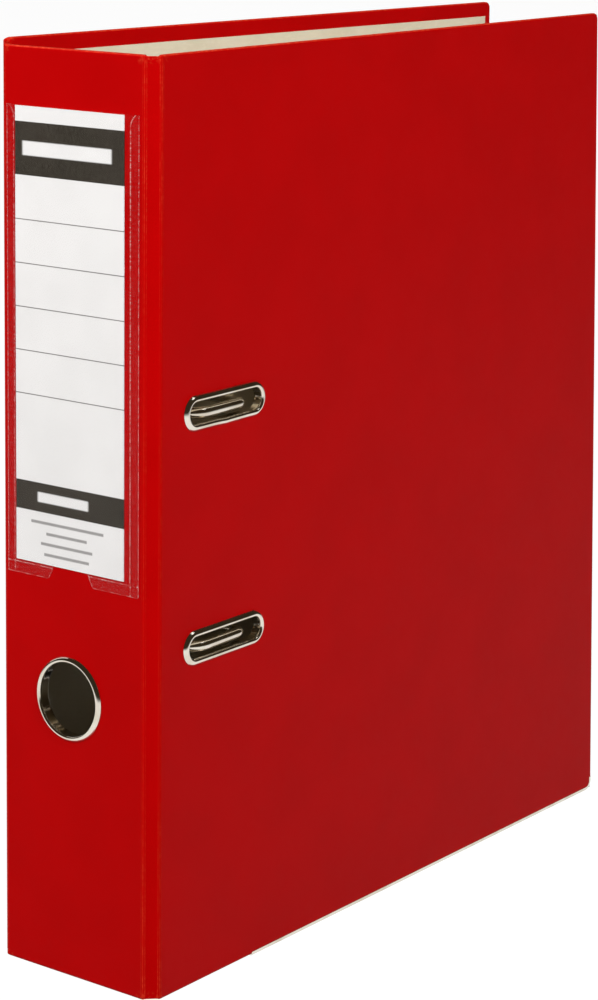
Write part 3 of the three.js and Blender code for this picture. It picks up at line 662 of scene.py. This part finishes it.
def plate(outline, holes, top, bottom):
    """A flat layer between two depths."""
    bm = bmesh.new()
    rims = []
    for loop in [outline] + holes:
        rims.append([[bm.verts.new((u, v, depth)) for u, v in loop] for depth in (top, bottom)])
        bridge(bm, rims[-1])
    for level in (0, 1):
        fill(bm, [rim[level] for rim in rims])
    return bm


def rectangle(u0, u1, v0, v1):
    return [(u0, v0), (u1, v0), (u1, v1), (u0, v1)]


LINING_EDGE = TURN_IN - 0.5  # the lining laps over the end of the turn-in
LINING_DEPTHS = (PANEL - LINING, PANEL + 0.04)


def add_panel(name, panel, body, outline, skipped, holes, width, fore_edge, edge, us):
    """The film and the lining of one panel."""
    bm = film_shell(outline, skipped, holes, TURN_IN + panel.rise)
    slice_grid(bm, us, V_LINES)
    make_piece(f"{name}_film_wrap", bm, panel.at, [film], body, [f"{name}_film"], edge)
    end = width - (LINING_EDGE if fore_edge else SEAM)
    area = rectangle(SEAM, end, LINING_EDGE, HEIGHT - LINING_EDGE - panel.rise)
    through = holes if name != "back" else []
    bm = plate(area, through, *LINING_DEPTHS)
    slice_grid(bm, us, V_LINES)
    make_piece(f"{name}_lining_paper", bm, panel.at, [lining], body, [f"{name}_lining"])


SLOTS = [SLOT_V - SLOT_SPACING / 2, SLOT_V + SLOT_SPACING / 2]
RIVETS = [(SHAFT_U + x, SHAFT_V + y) for y in (-50.5, 50.5) for x in (2, 40)]
slot_holes = [stadium(SLOT_U, v, SLOT_CORE, 4.3) for v in SLOTS]
add_panel("front", front, "front_cover", cover_outline, [15], slot_holes, COVER, True, cover_edge,
          COVER_LINES)
add_panel("spine", spine, "spine", spine_outline, [1, 3], [stadium(RING_U, RING_V, 0, 13.3, 32)],
          SPINE, False, spine_edge, SPINE_LINES)
add_panel("back", back, "back_cover", cover_outline, [15],
          [stadium(u, v, 0, 4.45, 16) for u, v in RIVETS], COVER, True, cover_edge, COVER_LINES)

board_area = rectangle(1, COVER - 0.6, 0.6, HEIGHT - 0.6)
front_core = plate(board_area, slot_holes, 0.32, 2.18)
slice_grid(front_core, COVER_LINES, V_LINES)
make_piece("front_board_core", front_core, front.at, [board], "front_cover", ["front_board"])

# ---- hinges ----

HINGE_DIP = 0.4  # the film sinks this far between the boards at the top and bottom
STRIP_DEPTH = 0.16  # the strip lies this far below the line between its creases


LOW_LEVELS = [0.0, 0.15, 0.3, 0.5, 0.7, 0.85, 1.0]  # how far round its bend the film's edge is


def hinge_section(panel, sign, corner, middle):
    """Plan of half a hinge: outer points, each with its distance s past the crease, and inner points."""
    along = panel.along * sign
    strip = (middle - corner).normalized()
    half_width = (middle - corner).length
    inner = (strip.cross(Vector((0, 0, 1)))).normalized()
    if inner.dot(panel.inward) < 0:
        inner = -inner

    def on_panel(back_by, depth):
        return corner - along * back_by + panel.inward * depth

    def on_strip(forward, depth):
        return corner + strip * forward + inner * depth

    outer = [(on_panel(SEAM, 0), -SEAM), (on_panel(1.3, 0), -1.3)]
    for step in range(7):
        t = step / 6
        bend = (
            on_panel(EDGE, 0) * (1 - t) ** 2
            + on_panel(0, -0.02) * 2 * t * (1 - t)
            + on_strip(EDGE, 0.1) * t**2
        )
        outer.append((bend, -EDGE + 2 * EDGE * t))
    outer += [(on_strip(forward, STRIP_DEPTH), forward) for forward in (1.35, half_width)]
    inside = [on_panel(back_by, depth) for back_by, depth in (
        (SEAM, PANEL), (1.45, PANEL - 0.02), (1.0, 2.3), (0.82, 2.0),
        (0.75, 1.6), (0.72, 1.2), (0.60, 0.92), (0.30, 0.75),
    )]
    inside += [on_strip(forward, STRIP_DEPTH + STRIP) for forward in (0.35, 1.35, half_width)]
    return outer, inside


def hinge_dip(s):
    """How far the hinge's top and bottom edges sink, at a distance s past the crease."""
    share = max(0.0, min(1.0, (s + 0.9) / 2.2))
    return HINGE_DIP * (0.5 - 0.5 * math.cos(math.pi * share))


def hinge_half(name, panel, sign, crease, other_crease, replaced, middle_rise=0.0):
    """Half of a hinge: from a panel's seam, round the board's edge, to the middle of the strip.

    sign is +1 where the strip follows the panel's end of higher u, and -1 where it comes before it.
    """
    corner = Vector((*crease, 0))
    middle = (corner + Vector((*other_crease, 0))) / 2
    half_width = (middle - corner).length
    outer, inside = hinge_section(panel, sign, corner, middle)
    crease_u = SPINE if sign > 0 else 0.0
    levels = [("low", share) for share in LOW_LEVELS]
    levels += [("at", v) for v in [TURN_IN] + V_LINES[3:-3] + [HEIGHT - TURN_IN]]
    levels += [("high", share) for share in reversed(LOW_LEVELS)]
    bm = bmesh.new()
    grid, places, marks = [], {}, {}
    for kind, value in levels:
        row = []
        for from_outer in (True, False):
            order = range(len(outer)) if from_outer else range(len(outer) - 1, -1, -1)
            for k in order:
                (o, s), i = outer[k], inside[k]
                thickness = (i - o).length
                radius = min(EDGE, 0.45 * thickness)
                angle = math.radians(90 * (1 - value)) if kind != "at" else 0.0
                pull = radius * (1 - math.cos(angle))
                rise = hinge_dip(s) + radius * (1 - math.sin(angle))
                v = {"low": FLOOR + rise, "at": value, "high": HEIGHT - rise}[kind]
                point = o.lerp(i, pull / thickness) if from_outer else i.lerp(o, pull / thickness)
                vert = bm.verts.new((crease_u + sign * s, v, 0))
                across = (s + SEAM) / (half_width + SEAM)
                height = raised(v, panel.rise + (middle_rise - panel.rise) * across)
                places[vert] = Vector((point.x, point.y, height)) * MM
                marks[vert] = (abs(s), min(v - FLOOR, HEIGHT - v))
                row.append(vert)
        grid.append(row)
    bridge(bm, grid)
    cap(bm, (grid[0], grid[-1][::-1]))
    count = len(outer)
    for low, high in zip(grid, grid[1:]):
        if not TURN_IN - 0.1 <= low[-1].co.y <= HEIGHT - TURN_IN - 0.1:
            continue
        inner_side = set(low[count:]) | set(high[count:])
        for vert in low:
            for face in vert.link_faces:
                if all(w in inner_side for w in face.verts):
                    face.material_index = 1  # the lining
    fill_maps(bm, marks.get)
    for vert, place in places.items():
        vert.co = place
    bmesh.ops.triangulate(bm, faces=[f for f in bm.faces if len(f.verts) > 4])
    bmesh.ops.recalc_face_normals(bm, faces=bm.faces[:])
    piece = add_object(name, bm, [film, lining])
    shade_smooth(piece, 50)
    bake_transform(piece)
    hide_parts(replaced)


hinge_half("back_hinge_cover_side", back, -1, CREASES["back_cover"], CREASES["back_spine"],
           "back_hinge_strip", BACK_RISE / 2)
hinge_half("back_hinge_spine_side", spine, -1, CREASES["back_spine"], CREASES["back_cover"],
           "back_hinge_strip", BACK_RISE / 2)
hinge_half("front_hinge_spine_side", spine, 1, CREASES["front_spine"], CREASES["front_cover"],
           "front_hinge_strip")
hinge_half("front_hinge_cover_side", front, -1, CREASES["front_cover"], CREASES["front_spine"],
           "front_hinge_strip")

# ---- edge rails ----


def rail(name, panel, body):
    """Folded steel channel over a cover's lower edge, round its corner and a little way up."""
    skin, bend, wall, lip = 0.05, 0.55, 0.40, 0.15
    low, high = -skin, PANEL + skin
    section = [(RAIL_LEG, low), (RAIL_LEG * 0.6, low)]
    section += arc((bend, low + bend), bend, 270, 180, 5)
    section += arc((bend, high - bend), bend, 180, 90, 5)
    section += [(RAIL_LEG * 0.6, high), (RAIL_LEG, high)]
    section += arc((RAIL_LEG - 0.02, high - lip), lip, 60, -60, 3)
    section += [(bend, high - 0.32), (wall, high - 0.6), (wall, low + 0.6), (bend, low + 0.32)]
    section += arc((RAIL_LEG - 0.02, low + lip), lip, 60, -60, 3)
    path = [((RAIL_START, 0), (0, 1)), ((RAIL_START + 0.5, 0), (0, 1))]
    path += [((u, 0), (0, 1)) for u in steps_to(RAIL_START, COVER - RAIL_RADIUS, 14)]
    centre = (COVER - RAIL_RADIUS, RAIL_RADIUS)
    for step in range(11):
        angle = math.radians(-90 + 9 * step)
        out = (math.cos(angle), math.sin(angle))
        path.append(((centre[0] + RAIL_RADIUS * out[0], centre[1] + RAIL_RADIUS * out[1]),
                     (-out[0], -out[1])))
    path.append(((COVER, RAIL_RISE), (-1, 0)))
    rows = [[(p[0] + n[0] * inset, p[1] + n[1] * inset, depth) for inset, depth in section]
            for p, n in path]
    bm = bmesh.new()
    made = loft(bm, rows)
    cap(bm, (made[0], made[-1]))
    bmesh.ops.triangulate(bm, faces=[f for f in bm.faces if len(f.verts) > 4])
    make_piece(f"{name}_rail_channel", bm, panel.at, [nickel], body, [f"{name}_edge_rail"])


rail("front", front, "front_cover")
rail("back", back, "back_cover")

# ---- slot eyelets and finger ring ----


DENT_U, DENT_HALF = 1.5, 3.6  # a dent in the upper eyelet's lower rim, past the slot's middle


def rimmed_loop(name, panel, centre, core, profile, steps, body, replaced, dent=0.0):
    """A pressed rim: a smooth (offset, depth) profile swept round a slot or a round hole."""
    section = smooth_loop(profile, 4)
    ring = []
    for side in (1, -1):
        for step in range(steps + 1):
            if core == 0 and step == steps:
                continue
            angle = math.radians(-90 * side + 180 * step / steps)
            ring.append((side * core, math.cos(angle), math.sin(angle)))
        if core:
            ring += [(side * core * (1 - 2 * t / 6), 0.0, side * 1.0) for t in range(1, 6)]
    rows = []
    for start, across, up in ring:
        row = []
        for offset, depth in section:
            u = start + offset * across
            v = offset * up
            sag = dent * math.exp(-(((u - DENT_U) / DENT_HALF) ** 2)) if up < -0.9 else 0.0
            row.append((centre[0] + u, centre[1] + v - sag * 0.5, depth + max(0.0, sag * 0.5)))
        rows.append(row)
    bm = bmesh.new()
    loft(bm, rows, closed_ring=True)
    make_piece(name, bm, panel.at, [nickel], body, replaced, angle=60)


EYELET = [(6.0, -0.03), (5.92, -0.42), (5.55, -0.88), (5.1, -1.18), (4.6, -1.29), (4.15, -1.12),
          (3.87, -0.7), (3.75, -0.1), (3.75, 1.2), (3.76, 2.35), (3.9, 2.7), (4.2, 2.85), (5.3, 2.85),
          (5.4, 2.68), (5.3, 2.5), (4.2, 2.47), (4.12, 2.2), (4.12, 0.2), (4.4, -0.03)]
RING = [(14.6, -0.03), (14.52, -0.4), (14.2, -0.85), (13.8, -1.17), (13.4, -1.29), (13.0, -1.14),
        (12.72, -0.75), (12.6, -0.2), (12.6, 1.2), (12.6, 2.75), (12.75, 3.15), (13.1, 3.28),
        (14.0, 3.28), (14.1, 3.12), (14.0, 2.98), (13.2, 2.9), (13.12, 2.6), (13.12, 0.2), (13.4, -0.03)]
for name, height, dent in (("lower", SLOTS[0], 0.0), ("upper", SLOTS[1], 0.8)):
    rimmed_loop(f"{name}_slot_rim", front, (SLOT_U, height), SLOT_CORE, EYELET, 20, "front_cover",
                [f"{name}_slot_eyelet"], dent)
rimmed_loop("finger_ring_rim", spine, (RING_U, RING_V), 0, RING, 48, "spine", ["finger_ring"])

# ---- label and pocket ----

card = plate(rectangle(*CARD), [], -0.30, -0.05)
slice_grid(card, steps_to(CARD[0], CARD[1], 4), steps_to(CARD[2], CARD[3], 8))
make_piece("label_insert", card, spine.at, [label], "spine", ["label_card"])

POCKET = {"u": (1.7, 60.9), "v": (138.6, 298.4), "weld_u": (4.9, 57.3), "weld_v": 142.3}
NOTCH = {"u": 30.5, "foot": 10.2, "head": 8.0, "top": 143.7}
MOUTH_FLARE, MOUTH_DEPTH = 2.3, 4.0


def notch_half_width(v):
    """Half the width of the thumb notch in the sleeve's foot, which narrows upwards."""
    share = max(0.0, min(1.0, (v - POCKET["v"][0]) / (NOTCH["top"] - POCKET["v"][0])))
    return NOTCH["foot"] + (NOTCH["head"] - NOTCH["foot"]) * math.sin(share * math.pi / 2)


def weld_lines(v):
    """Inner edges of the two side welds: they curve outwards at the sleeve's mouth."""
    flare = MOUTH_FLARE * max(0.0, (v - (POCKET["v"][1] - MOUTH_DEPTH)) / MOUTH_DEPTH) ** 2
    return POCKET["weld_u"][0] - flare, POCKET["weld_u"][1] + flare


def pocket_height(u, v, row):
    """Height of the sheet above the spine's face."""
    left, right = weld_lines(v)
    side = min(u - left, right - u)
    inside = min(side, v - POCKET["weld_v"])
    lift = smooth_share(inside, 0.0, 0.7)
    ridge = 0.03 * (row % 2) if side < -0.25 and v > POCKET["weld_v"] else 0.0
    wave = 0.05 * noise.noise(Vector((u * 0.06, v * 0.03, 3.1)))
    rim = 0.16 if abs(inside) < 0.2 or abs(v - POCKET["v"][0]) < 0.1 else 0.0
    return 0.24 + ridge + rim + lift * (0.30 + wave)


def add_pocket():
    """Clear sleeve for the label, welded along both sides and its foot, open at the top."""
    first, last = POCKET["u"]
    rows = [POCKET["v"][0], 138.85, 139.3, 140.4, 141.6, 142.1, 142.3, 142.6, 143.1, NOTCH["top"]]
    count = int((POCKET["v"][1] - NOTCH["top"]) / (RIDGE / 2))
    rows += [NOTCH["top"] + (POCKET["v"][1] - NOTCH["top"]) * i / count for i in range(1, count + 1)]
    bm = bmesh.new()
    grid, marks = [], {}
    for number, v in enumerate(rows):
        left, right = weld_lines(v)
        half = notch_half_width(v)
        gap = [NOTCH["u"] - half, NOTCH["u"] + half]
        weld_left = [first + (left - first) * t for t in (0, 0.08, 0.3, 0.6, 0.9, 1)]
        weld_right = [right + (last - right) * t for t in (0, 0.1, 0.4, 0.7, 0.92, 1)]
        middle_left = [left + 0.35, left + 0.8, left + 2.5, left + 8, gap[0] - 0.3, gap[0]]
        middle_right = [gap[1], gap[1] + 0.3, right - 8, right - 2.5, right - 0.8, right - 0.35]
        columns = weld_left + middle_left + [NOTCH["u"]] + middle_right + weld_right
        row = []
        for u in columns:
            vert = bm.verts.new((u, v, -pocket_height(u, v, number)))
            to_outer = min(u - first, last - u, v - POCKET["v"][0])
            to_weld = min(abs(u - left), abs(u - right))
            if v <= POCKET["weld_v"] or left - 0.01 <= u <= right + 0.01:
                to_weld = min(to_weld, abs(v - POCKET["weld_v"]))
            to_notch = 99.0
            if v <= NOTCH["top"] + 0.01:
                to_notch = min(abs(u - gap[0]), abs(u - gap[1]))
            inside = left < u < right and v > POCKET["weld_v"]
            marks[vert] = (min(to_outer, to_weld, to_notch), 0.0 if inside else 1.0)
            row.append(vert)
        grid.append(row)
    cut = len(weld_left) + len(middle_left)
    for number, (low, high) in enumerate(zip(grid, grid[1:])):
        for i in range(len(low) - 1):
            if rows[number + 1] <= NOTCH["top"] + 0.01 and i in (cut - 1, cut):
                continue
            bm.faces.new((low[i], low[i + 1], high[i + 1], high[i]))
    loose = [vert for vert in bm.verts if not vert.link_faces]
    bmesh.ops.delete(bm, geom=loose, context="VERTS")
    fill_maps(bm, marks.get)
    for vert in bm.verts:
        vert.co = spine.at(*vert.co)
    for face in bm.faces:
        face.normal_update()
        if face.normal.y > 0:
            face.normal_flip()
    sleeve = add_object("label_sleeve", bm, [pocket_film])
    solid = sleeve.modifiers.new("sheet thickness", "SOLIDIFY")
    solid.thickness = 0.18 * MM
    solid.offset = -1
    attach(sleeve, "spine")
    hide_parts("label_pocket")


add_pocket()

# ---- lever arch mechanism ----


def on_back(x, y, z):
    """Mechanism coordinates (x from the shaft, y up, z out of the back cover) to the row frame."""
    return back.at(SHAFT_U + x, SHAFT_V + y, PANEL + z)


def tube(name, points, radii, sides, material, body, replaced):
    """A round wire along the points, with a radius for each of them."""
    frames = []
    normal = Vector((0, 0, 1))
    for i, point in enumerate(points):
        tangent = (points[min(i + 1, len(points) - 1)] - points[max(i - 1, 0)]).normalized()
        normal = (normal - tangent * normal.dot(tangent)).normalized()
        if i == 0 and abs(tangent.z) > 0.9:
            normal = Vector((1, 0, 0))
        frames.append((point, normal.copy(), tangent.cross(normal)))
    bm = bmesh.new()
    rows = []
    for (point, side, other), radius in zip(frames, radii):
        row = []
        for k in range(sides):
            angle = 2 * math.pi * k / sides
            row.append(point + side * radius * math.cos(angle) + other * radius * math.sin(angle))
        rows.append(row)
    made = loft(bm, rows)
    cap(bm, (made[0], made[-1]))
    make_piece(name, bm, on_back, [material], body, replaced, angle=50)


def rounded_path(corners, degrees):
    """Rounds the corners of a polyline; every corner is (point, bend radius), the ends have none."""
    points = [corners[0][0]]
    for (before, _), (at, bend), (after, _) in zip(corners, corners[1:], corners[2:]):
        back_way = (before - at).normalized()
        ahead = (after - at).normalized()
        half = back_way.angle(ahead) / 2
        centre = at + (back_way + ahead).normalized() * (bend / math.sin(half))
        arm = at + back_way * (bend / math.tan(half)) - centre
        axis = ahead.cross(back_way).normalized()
        turn = math.pi - 2 * half
        steps = max(4, math.ceil(math.degrees(turn) / degrees))
        for step in range(steps + 1):
            points.append(Matrix.Rotation(turn * step / steps, 3, axis) @ arm + centre)
    return points + [corners[-1][0]]


def arch_wire():
    """Both arches, their shaft and its crank: one bent wire with a cone at each tip."""
    apex = POST_TOP - (POST_RADIUS - 0.25) / CONE_SLOPE + TIP_GAP
    shoulder = apex + WIRE_RADIUS / CONE_SLOPE
    tip = apex + TIP_RADIUS / CONE_SLOPE

    def arch(y):
        start = [(Vector((POST_U, y, shoulder + 0.3)), 0)]
        return start + [(Vector((x, y, z)), bend) for x, z, bend in ARCH_CORNERS]

    crank = [(Vector((x, y, SHAFT_RISE)), CRANK_BEND) for x, y in CRANK_CORNERS]
    line = rounded_path(arch(ARCH_SPAN) + crank + arch(-ARCH_SPAN)[::-1], 4)
    cone = [
        (tip - 0.12, 0.05), (tip, TIP_RADIUS),
        (shoulder - 0.25, WIRE_RADIUS - 0.22), (shoulder, WIRE_RADIUS - 0.05),
    ]
    first, last = [
        [(Vector((POST_U, y, z)), radius) for z, radius in cone] for y in (ARCH_SPAN, -ARCH_SPAN)
    ]
    rings = first + [(point, WIRE_RADIUS) for point in line] + last[::-1]
    tube("arch_wire_round", [p for p, _ in rings], [r for _, r in rings], 28, nickel, "arches",
         ["arch_wire"])


arch_wire()


def turned(name, x, y, pairs, material, body, replaced, segments=48):
    """Solid of revolution about the mechanism's z axis. Its (radius, z) pairs start and end on the axis."""
    bm = bmesh.new()
    rows = []
    for radius, z in pairs[1:-1]:
        row = []
        for k in range(segments):
            angle = 2 * math.pi * k / segments
            row.append((x + radius * math.cos(angle), y + radius * math.sin(angle), z))
        rows.append(row)
    made = loft(bm, rows)
    for ring, (_, z) in ((made[0], pairs[0]), (made[-1], pairs[-1])):
        hub = bm.verts.new((x, y, z))
        for a, b in zip(ring, ring[1:] + ring[:1]):
            bm.faces.new((hub, a, b))
    make_piece(name, bm, on_back, [material], body, replaced, angle=40)


post_recess = (POST_RADIUS - POST_RIM) / CONE_SLOPE
for name, y in (("upper", ARCH_SPAN), ("lower", -ARCH_SPAN)):
    turned(
        f"{name}_post_turned", POST_U, y,
        [(0, 1.1), (4.3, 1.1), (4.5, 1.3), (4.5, 1.9), (4.4, 2.15), (4.1, 2.3), (3.0, 2.35), (2.7, 2.5),
         (POST_RADIUS, 2.8), (POST_RADIUS, 20), (POST_RADIUS, POST_TOP - 0.2), (2.5, POST_TOP - 0.04),
         (POST_RADIUS - POST_RIM, POST_TOP), (0, POST_TOP - post_recess)],
        nickel, "back_cover", [f"{name}_post"],
    )

for number, (u, v) in enumerate(RIVETS, 1):
    turned(
        f"rivet_{number}_formed", u - SHAFT_U, v - SHAFT_V,
        [(0, -2.42), (2.2, -2.42), (3.4, -2.39), (4.05, -2.28), (4.3, -2.05), (4.3, -1.65), (2.0, -1.6),
         (2.0, 1.05), (3.0, 1.1), (3.05, 1.25), (3.0, 1.5), (2.75, 1.8), (2.3, 1.95), (1.6, 1.93),
         (1.0, 1.75), (0, 1.5)],
        nickel, "back_cover", [f"rivet_{number}"],
    )


def refined(node, material, body, bevel, angle=32):
    """The CAD node's own shape with its edges broken, for sheet metal and pins."""
    bm = bmesh.new()
    bm.from_mesh(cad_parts[node].data)
    bmesh.ops.remove_doubles(bm, verts=bm.verts[:], dist=2e-6)
    bmesh.ops.dissolve_limit(
        bm, angle_limit=math.radians(0.5), verts=bm.verts[:], edges=bm.edges[:]
    )
    limit = math.radians(angle)
    sharp = [e for e in bm.edges if len(e.link_faces) == 2 and e.calc_face_angle(0) > limit]
    bmesh.ops.bevel(
        bm, geom=sharp, offset=bevel * MM, segments=2, profile=0.6, affect="EDGES",
        clamp_overlap=True, loop_slide=True,
    )
    bmesh.ops.triangulate(bm, faces=[f for f in bm.faces if len(f.verts) > 4])
    make_piece(f"{node}_finished", bm, lambda *co: Vector(co), [material], body, [node])


refined("base_plate", steel, "back_cover", 0.12)
refined("lever", nickel, "lever", 0.22)
refined("lever_pin", steel, "back_cover", 0.12)
refined("roller_pin", steel, "lever", 0.10)
refined("roller", nylon, "roller", 0.2)
refined("compressor_bar", nickel, "compressor", 0.25)
refined("compressor_catch", steel, "catch", 0.15)
refined("catch_pin", steel, "compressor", 0.08)
refined("finger_ring_washer", steel, "spine", 0.08)

for node in ("spine_board", "back_board"):
    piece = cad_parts[node]
    piece.data.materials.clear()
    piece.data.materials.append(board)

# ---- floor, light and camera ----

CAMERA = {
    "angles": (38.61, -7.94, 0.54),  # yaw, pitch and roll, in degrees
    "place": (0.6645, -0.8547, 0.3942),
    "lens": 107.1,
    "shift": -0.2687,
}
SURROUNDINGS, BACKDROP = (0.034, 0.025, 0.015, 1), (0.985, 0.985, 0.985, 1)

# the floor's glow, which stands in for light, fades between these under the file: a painted shadow
UNDER_X, UNDER_Y = (0.035, 0.028), (0.143, 0.132)  # the floor darkens between these, under the file


def add_floor():
    """A pale floor whose glow is painted light. It shows bright in view and in reflections, dimmer in
    reflections further off, but throws little light back, and its glow fades under the file as a painted
    shadow.
    """
    g = Graph("pale studio floor")
    path = g.node("ShaderNodeLightPath").outputs
    split = g.node("ShaderNodeSeparateXYZ", {0: g.position()})
    x, y = split.outputs[0], g.math("ABSOLUTE", split.outputs[1])
    lean = g.product(g.math("SUBTRACT", split.outputs[1], SPINE_Y * MM), math.tan(LEAN))
    x = g.math("MAXIMUM", g.math("MULTIPLY", x, -1.0), g.math("ADD", x, lean))
    # 1 away from the file and 0 under it: the floor's glow fades there as a painted shadow
    outside = g.math("SUBTRACT", 1.0, g.product(g.ramp(x, *UNDER_X), g.ramp(y, *UNDER_Y)))
    away = g.node("ShaderNodeVectorMath", {0: g.position()}, operation="LENGTH").outputs["Value"]
    # the glow that reflections see fades further off: a painted reflection
    painted_reflection_glow = g.between(g.ramp(away, 0.5, 2.0), 0.88, 0.25)
    thrown = g.product(outside, g.math("MINIMUM", painted_reflection_glow, g.between(path["Is Diffuse Ray"], 1.0, 0.08)))
    seen = g.product(path["Is Camera Ray"], 0.97)
    g.surface(
        Base_Color=g.mix(g.noise(3, 2.0), FLOOR_GREY, FLOOR_GREY_LIGHT),
        Roughness=0.8,
        Specular_IOR_Level=0.1,
        Emission_Color=(1.0, 1.0, 1.0, 1),
        Emission_Strength=g.math("MAXIMUM", seen, thrown),
    )
    bm = bmesh.new()
    bmesh.ops.create_grid(bm, x_segments=8, y_segments=8, size=14)
    floor = add_object("floor", bm, [g.material])
    floor.location.z = cad_low.z - 0.05 * MM


def add_softbox(name, azimuth, elevation, distance, size, energy, glints=True):
    """A softbox seen from the object at that azimuth (0 faces the spine, 90 the front) and elevation."""
    lamp = bpy.data.lights.new(name, "AREA")
    lamp.energy = energy
    lamp.size = size
    holder = bpy.data.objects.new(name, lamp)
    holder.visible_glossy = glints
    a, e = math.radians(azimuth), math.radians(elevation)
    direction = Vector((math.sin(a) * math.cos(e), -math.cos(a) * math.cos(e), math.sin(e)))
    holder.location = Vector((0, 0, HEIGHT / 2 * MM)) + direction * distance
    holder.rotation_mode = "QUATERNION"
    holder.rotation_quaternion = direction.to_track_quat("Z", "Y")
    bpy.context.scene.collection.objects.link(holder)


def add_world():
    """Dim warm surroundings for reflections, and a pale backdrop where the camera sees past the floor."""
    world = bpy.data.worlds.new("studio")
    world.use_nodes = True
    nodes, links = world.node_tree.nodes, world.node_tree.links
    nodes.clear()
    dim = nodes.new("ShaderNodeBackground")
    dim.inputs[0].default_value = SURROUNDINGS
    dim.inputs[1].default_value = 1.0
    pale = nodes.new("ShaderNodeBackground")
    pale.inputs[0].default_value = BACKDROP
    path = nodes.new("ShaderNodeLightPath")
    mix = nodes.new("ShaderNodeMixShader")
    output = nodes.new("ShaderNodeOutputWorld")
    links.new(path.outputs["Is Camera Ray"], mix.inputs[0])
    links.new(dim.outputs[0], mix.inputs[1])
    links.new(pale.outputs[0], mix.inputs[2])
    links.new(mix.outputs[0], output.inputs[0])
    bpy.context.scene.world = world


def add_camera():
    """The photograph's viewpoint: it looks at the edge between the spine and the front cover."""
    yaw, pitch, roll = (math.radians(angle) for angle in CAMERA["angles"])
    ahead = Vector((-math.sin(yaw) * math.cos(pitch), math.cos(yaw) * math.cos(pitch), math.sin(pitch)))
    level_right = ahead.cross(Vector((0, 0, 1))).normalized()
    level_up = level_right.cross(ahead)
    right = level_right * math.cos(roll) + level_up * math.sin(roll)
    up = level_up * math.cos(roll) - level_right * math.sin(roll)
    data = bpy.data.cameras.new("camera")
    data.lens = CAMERA["lens"]
    data.sensor_width = 36.0
    data.shift_y = CAMERA["shift"]
    data.clip_start, data.clip_end = 0.05, 60.0
    camera = bpy.data.objects.new("camera", data)
    matrix = Matrix((right, up, -ahead)).transposed().to_4x4()
    matrix.translation = Vector(CAMERA["place"])
    camera.matrix_world = matrix
    bpy.context.scene.collection.objects.link(camera)
    bpy.context.scene.camera = camera


add_floor()
add_world()
add_softbox("right key", 70, 33, 1.40, 0.9, 24.0, glints=False)
add_softbox("left key", -18, 30, 1.40, 0.9, 21.0, glints=False)
add_softbox("glints", 133, 59, 1.6, 0.45, 1.5)
add_softbox("back fill", 262, 30, 2.2, 1.6, 8.0)
add_camera()
bpy.context.scene.view_settings.view_transform = "Standard"
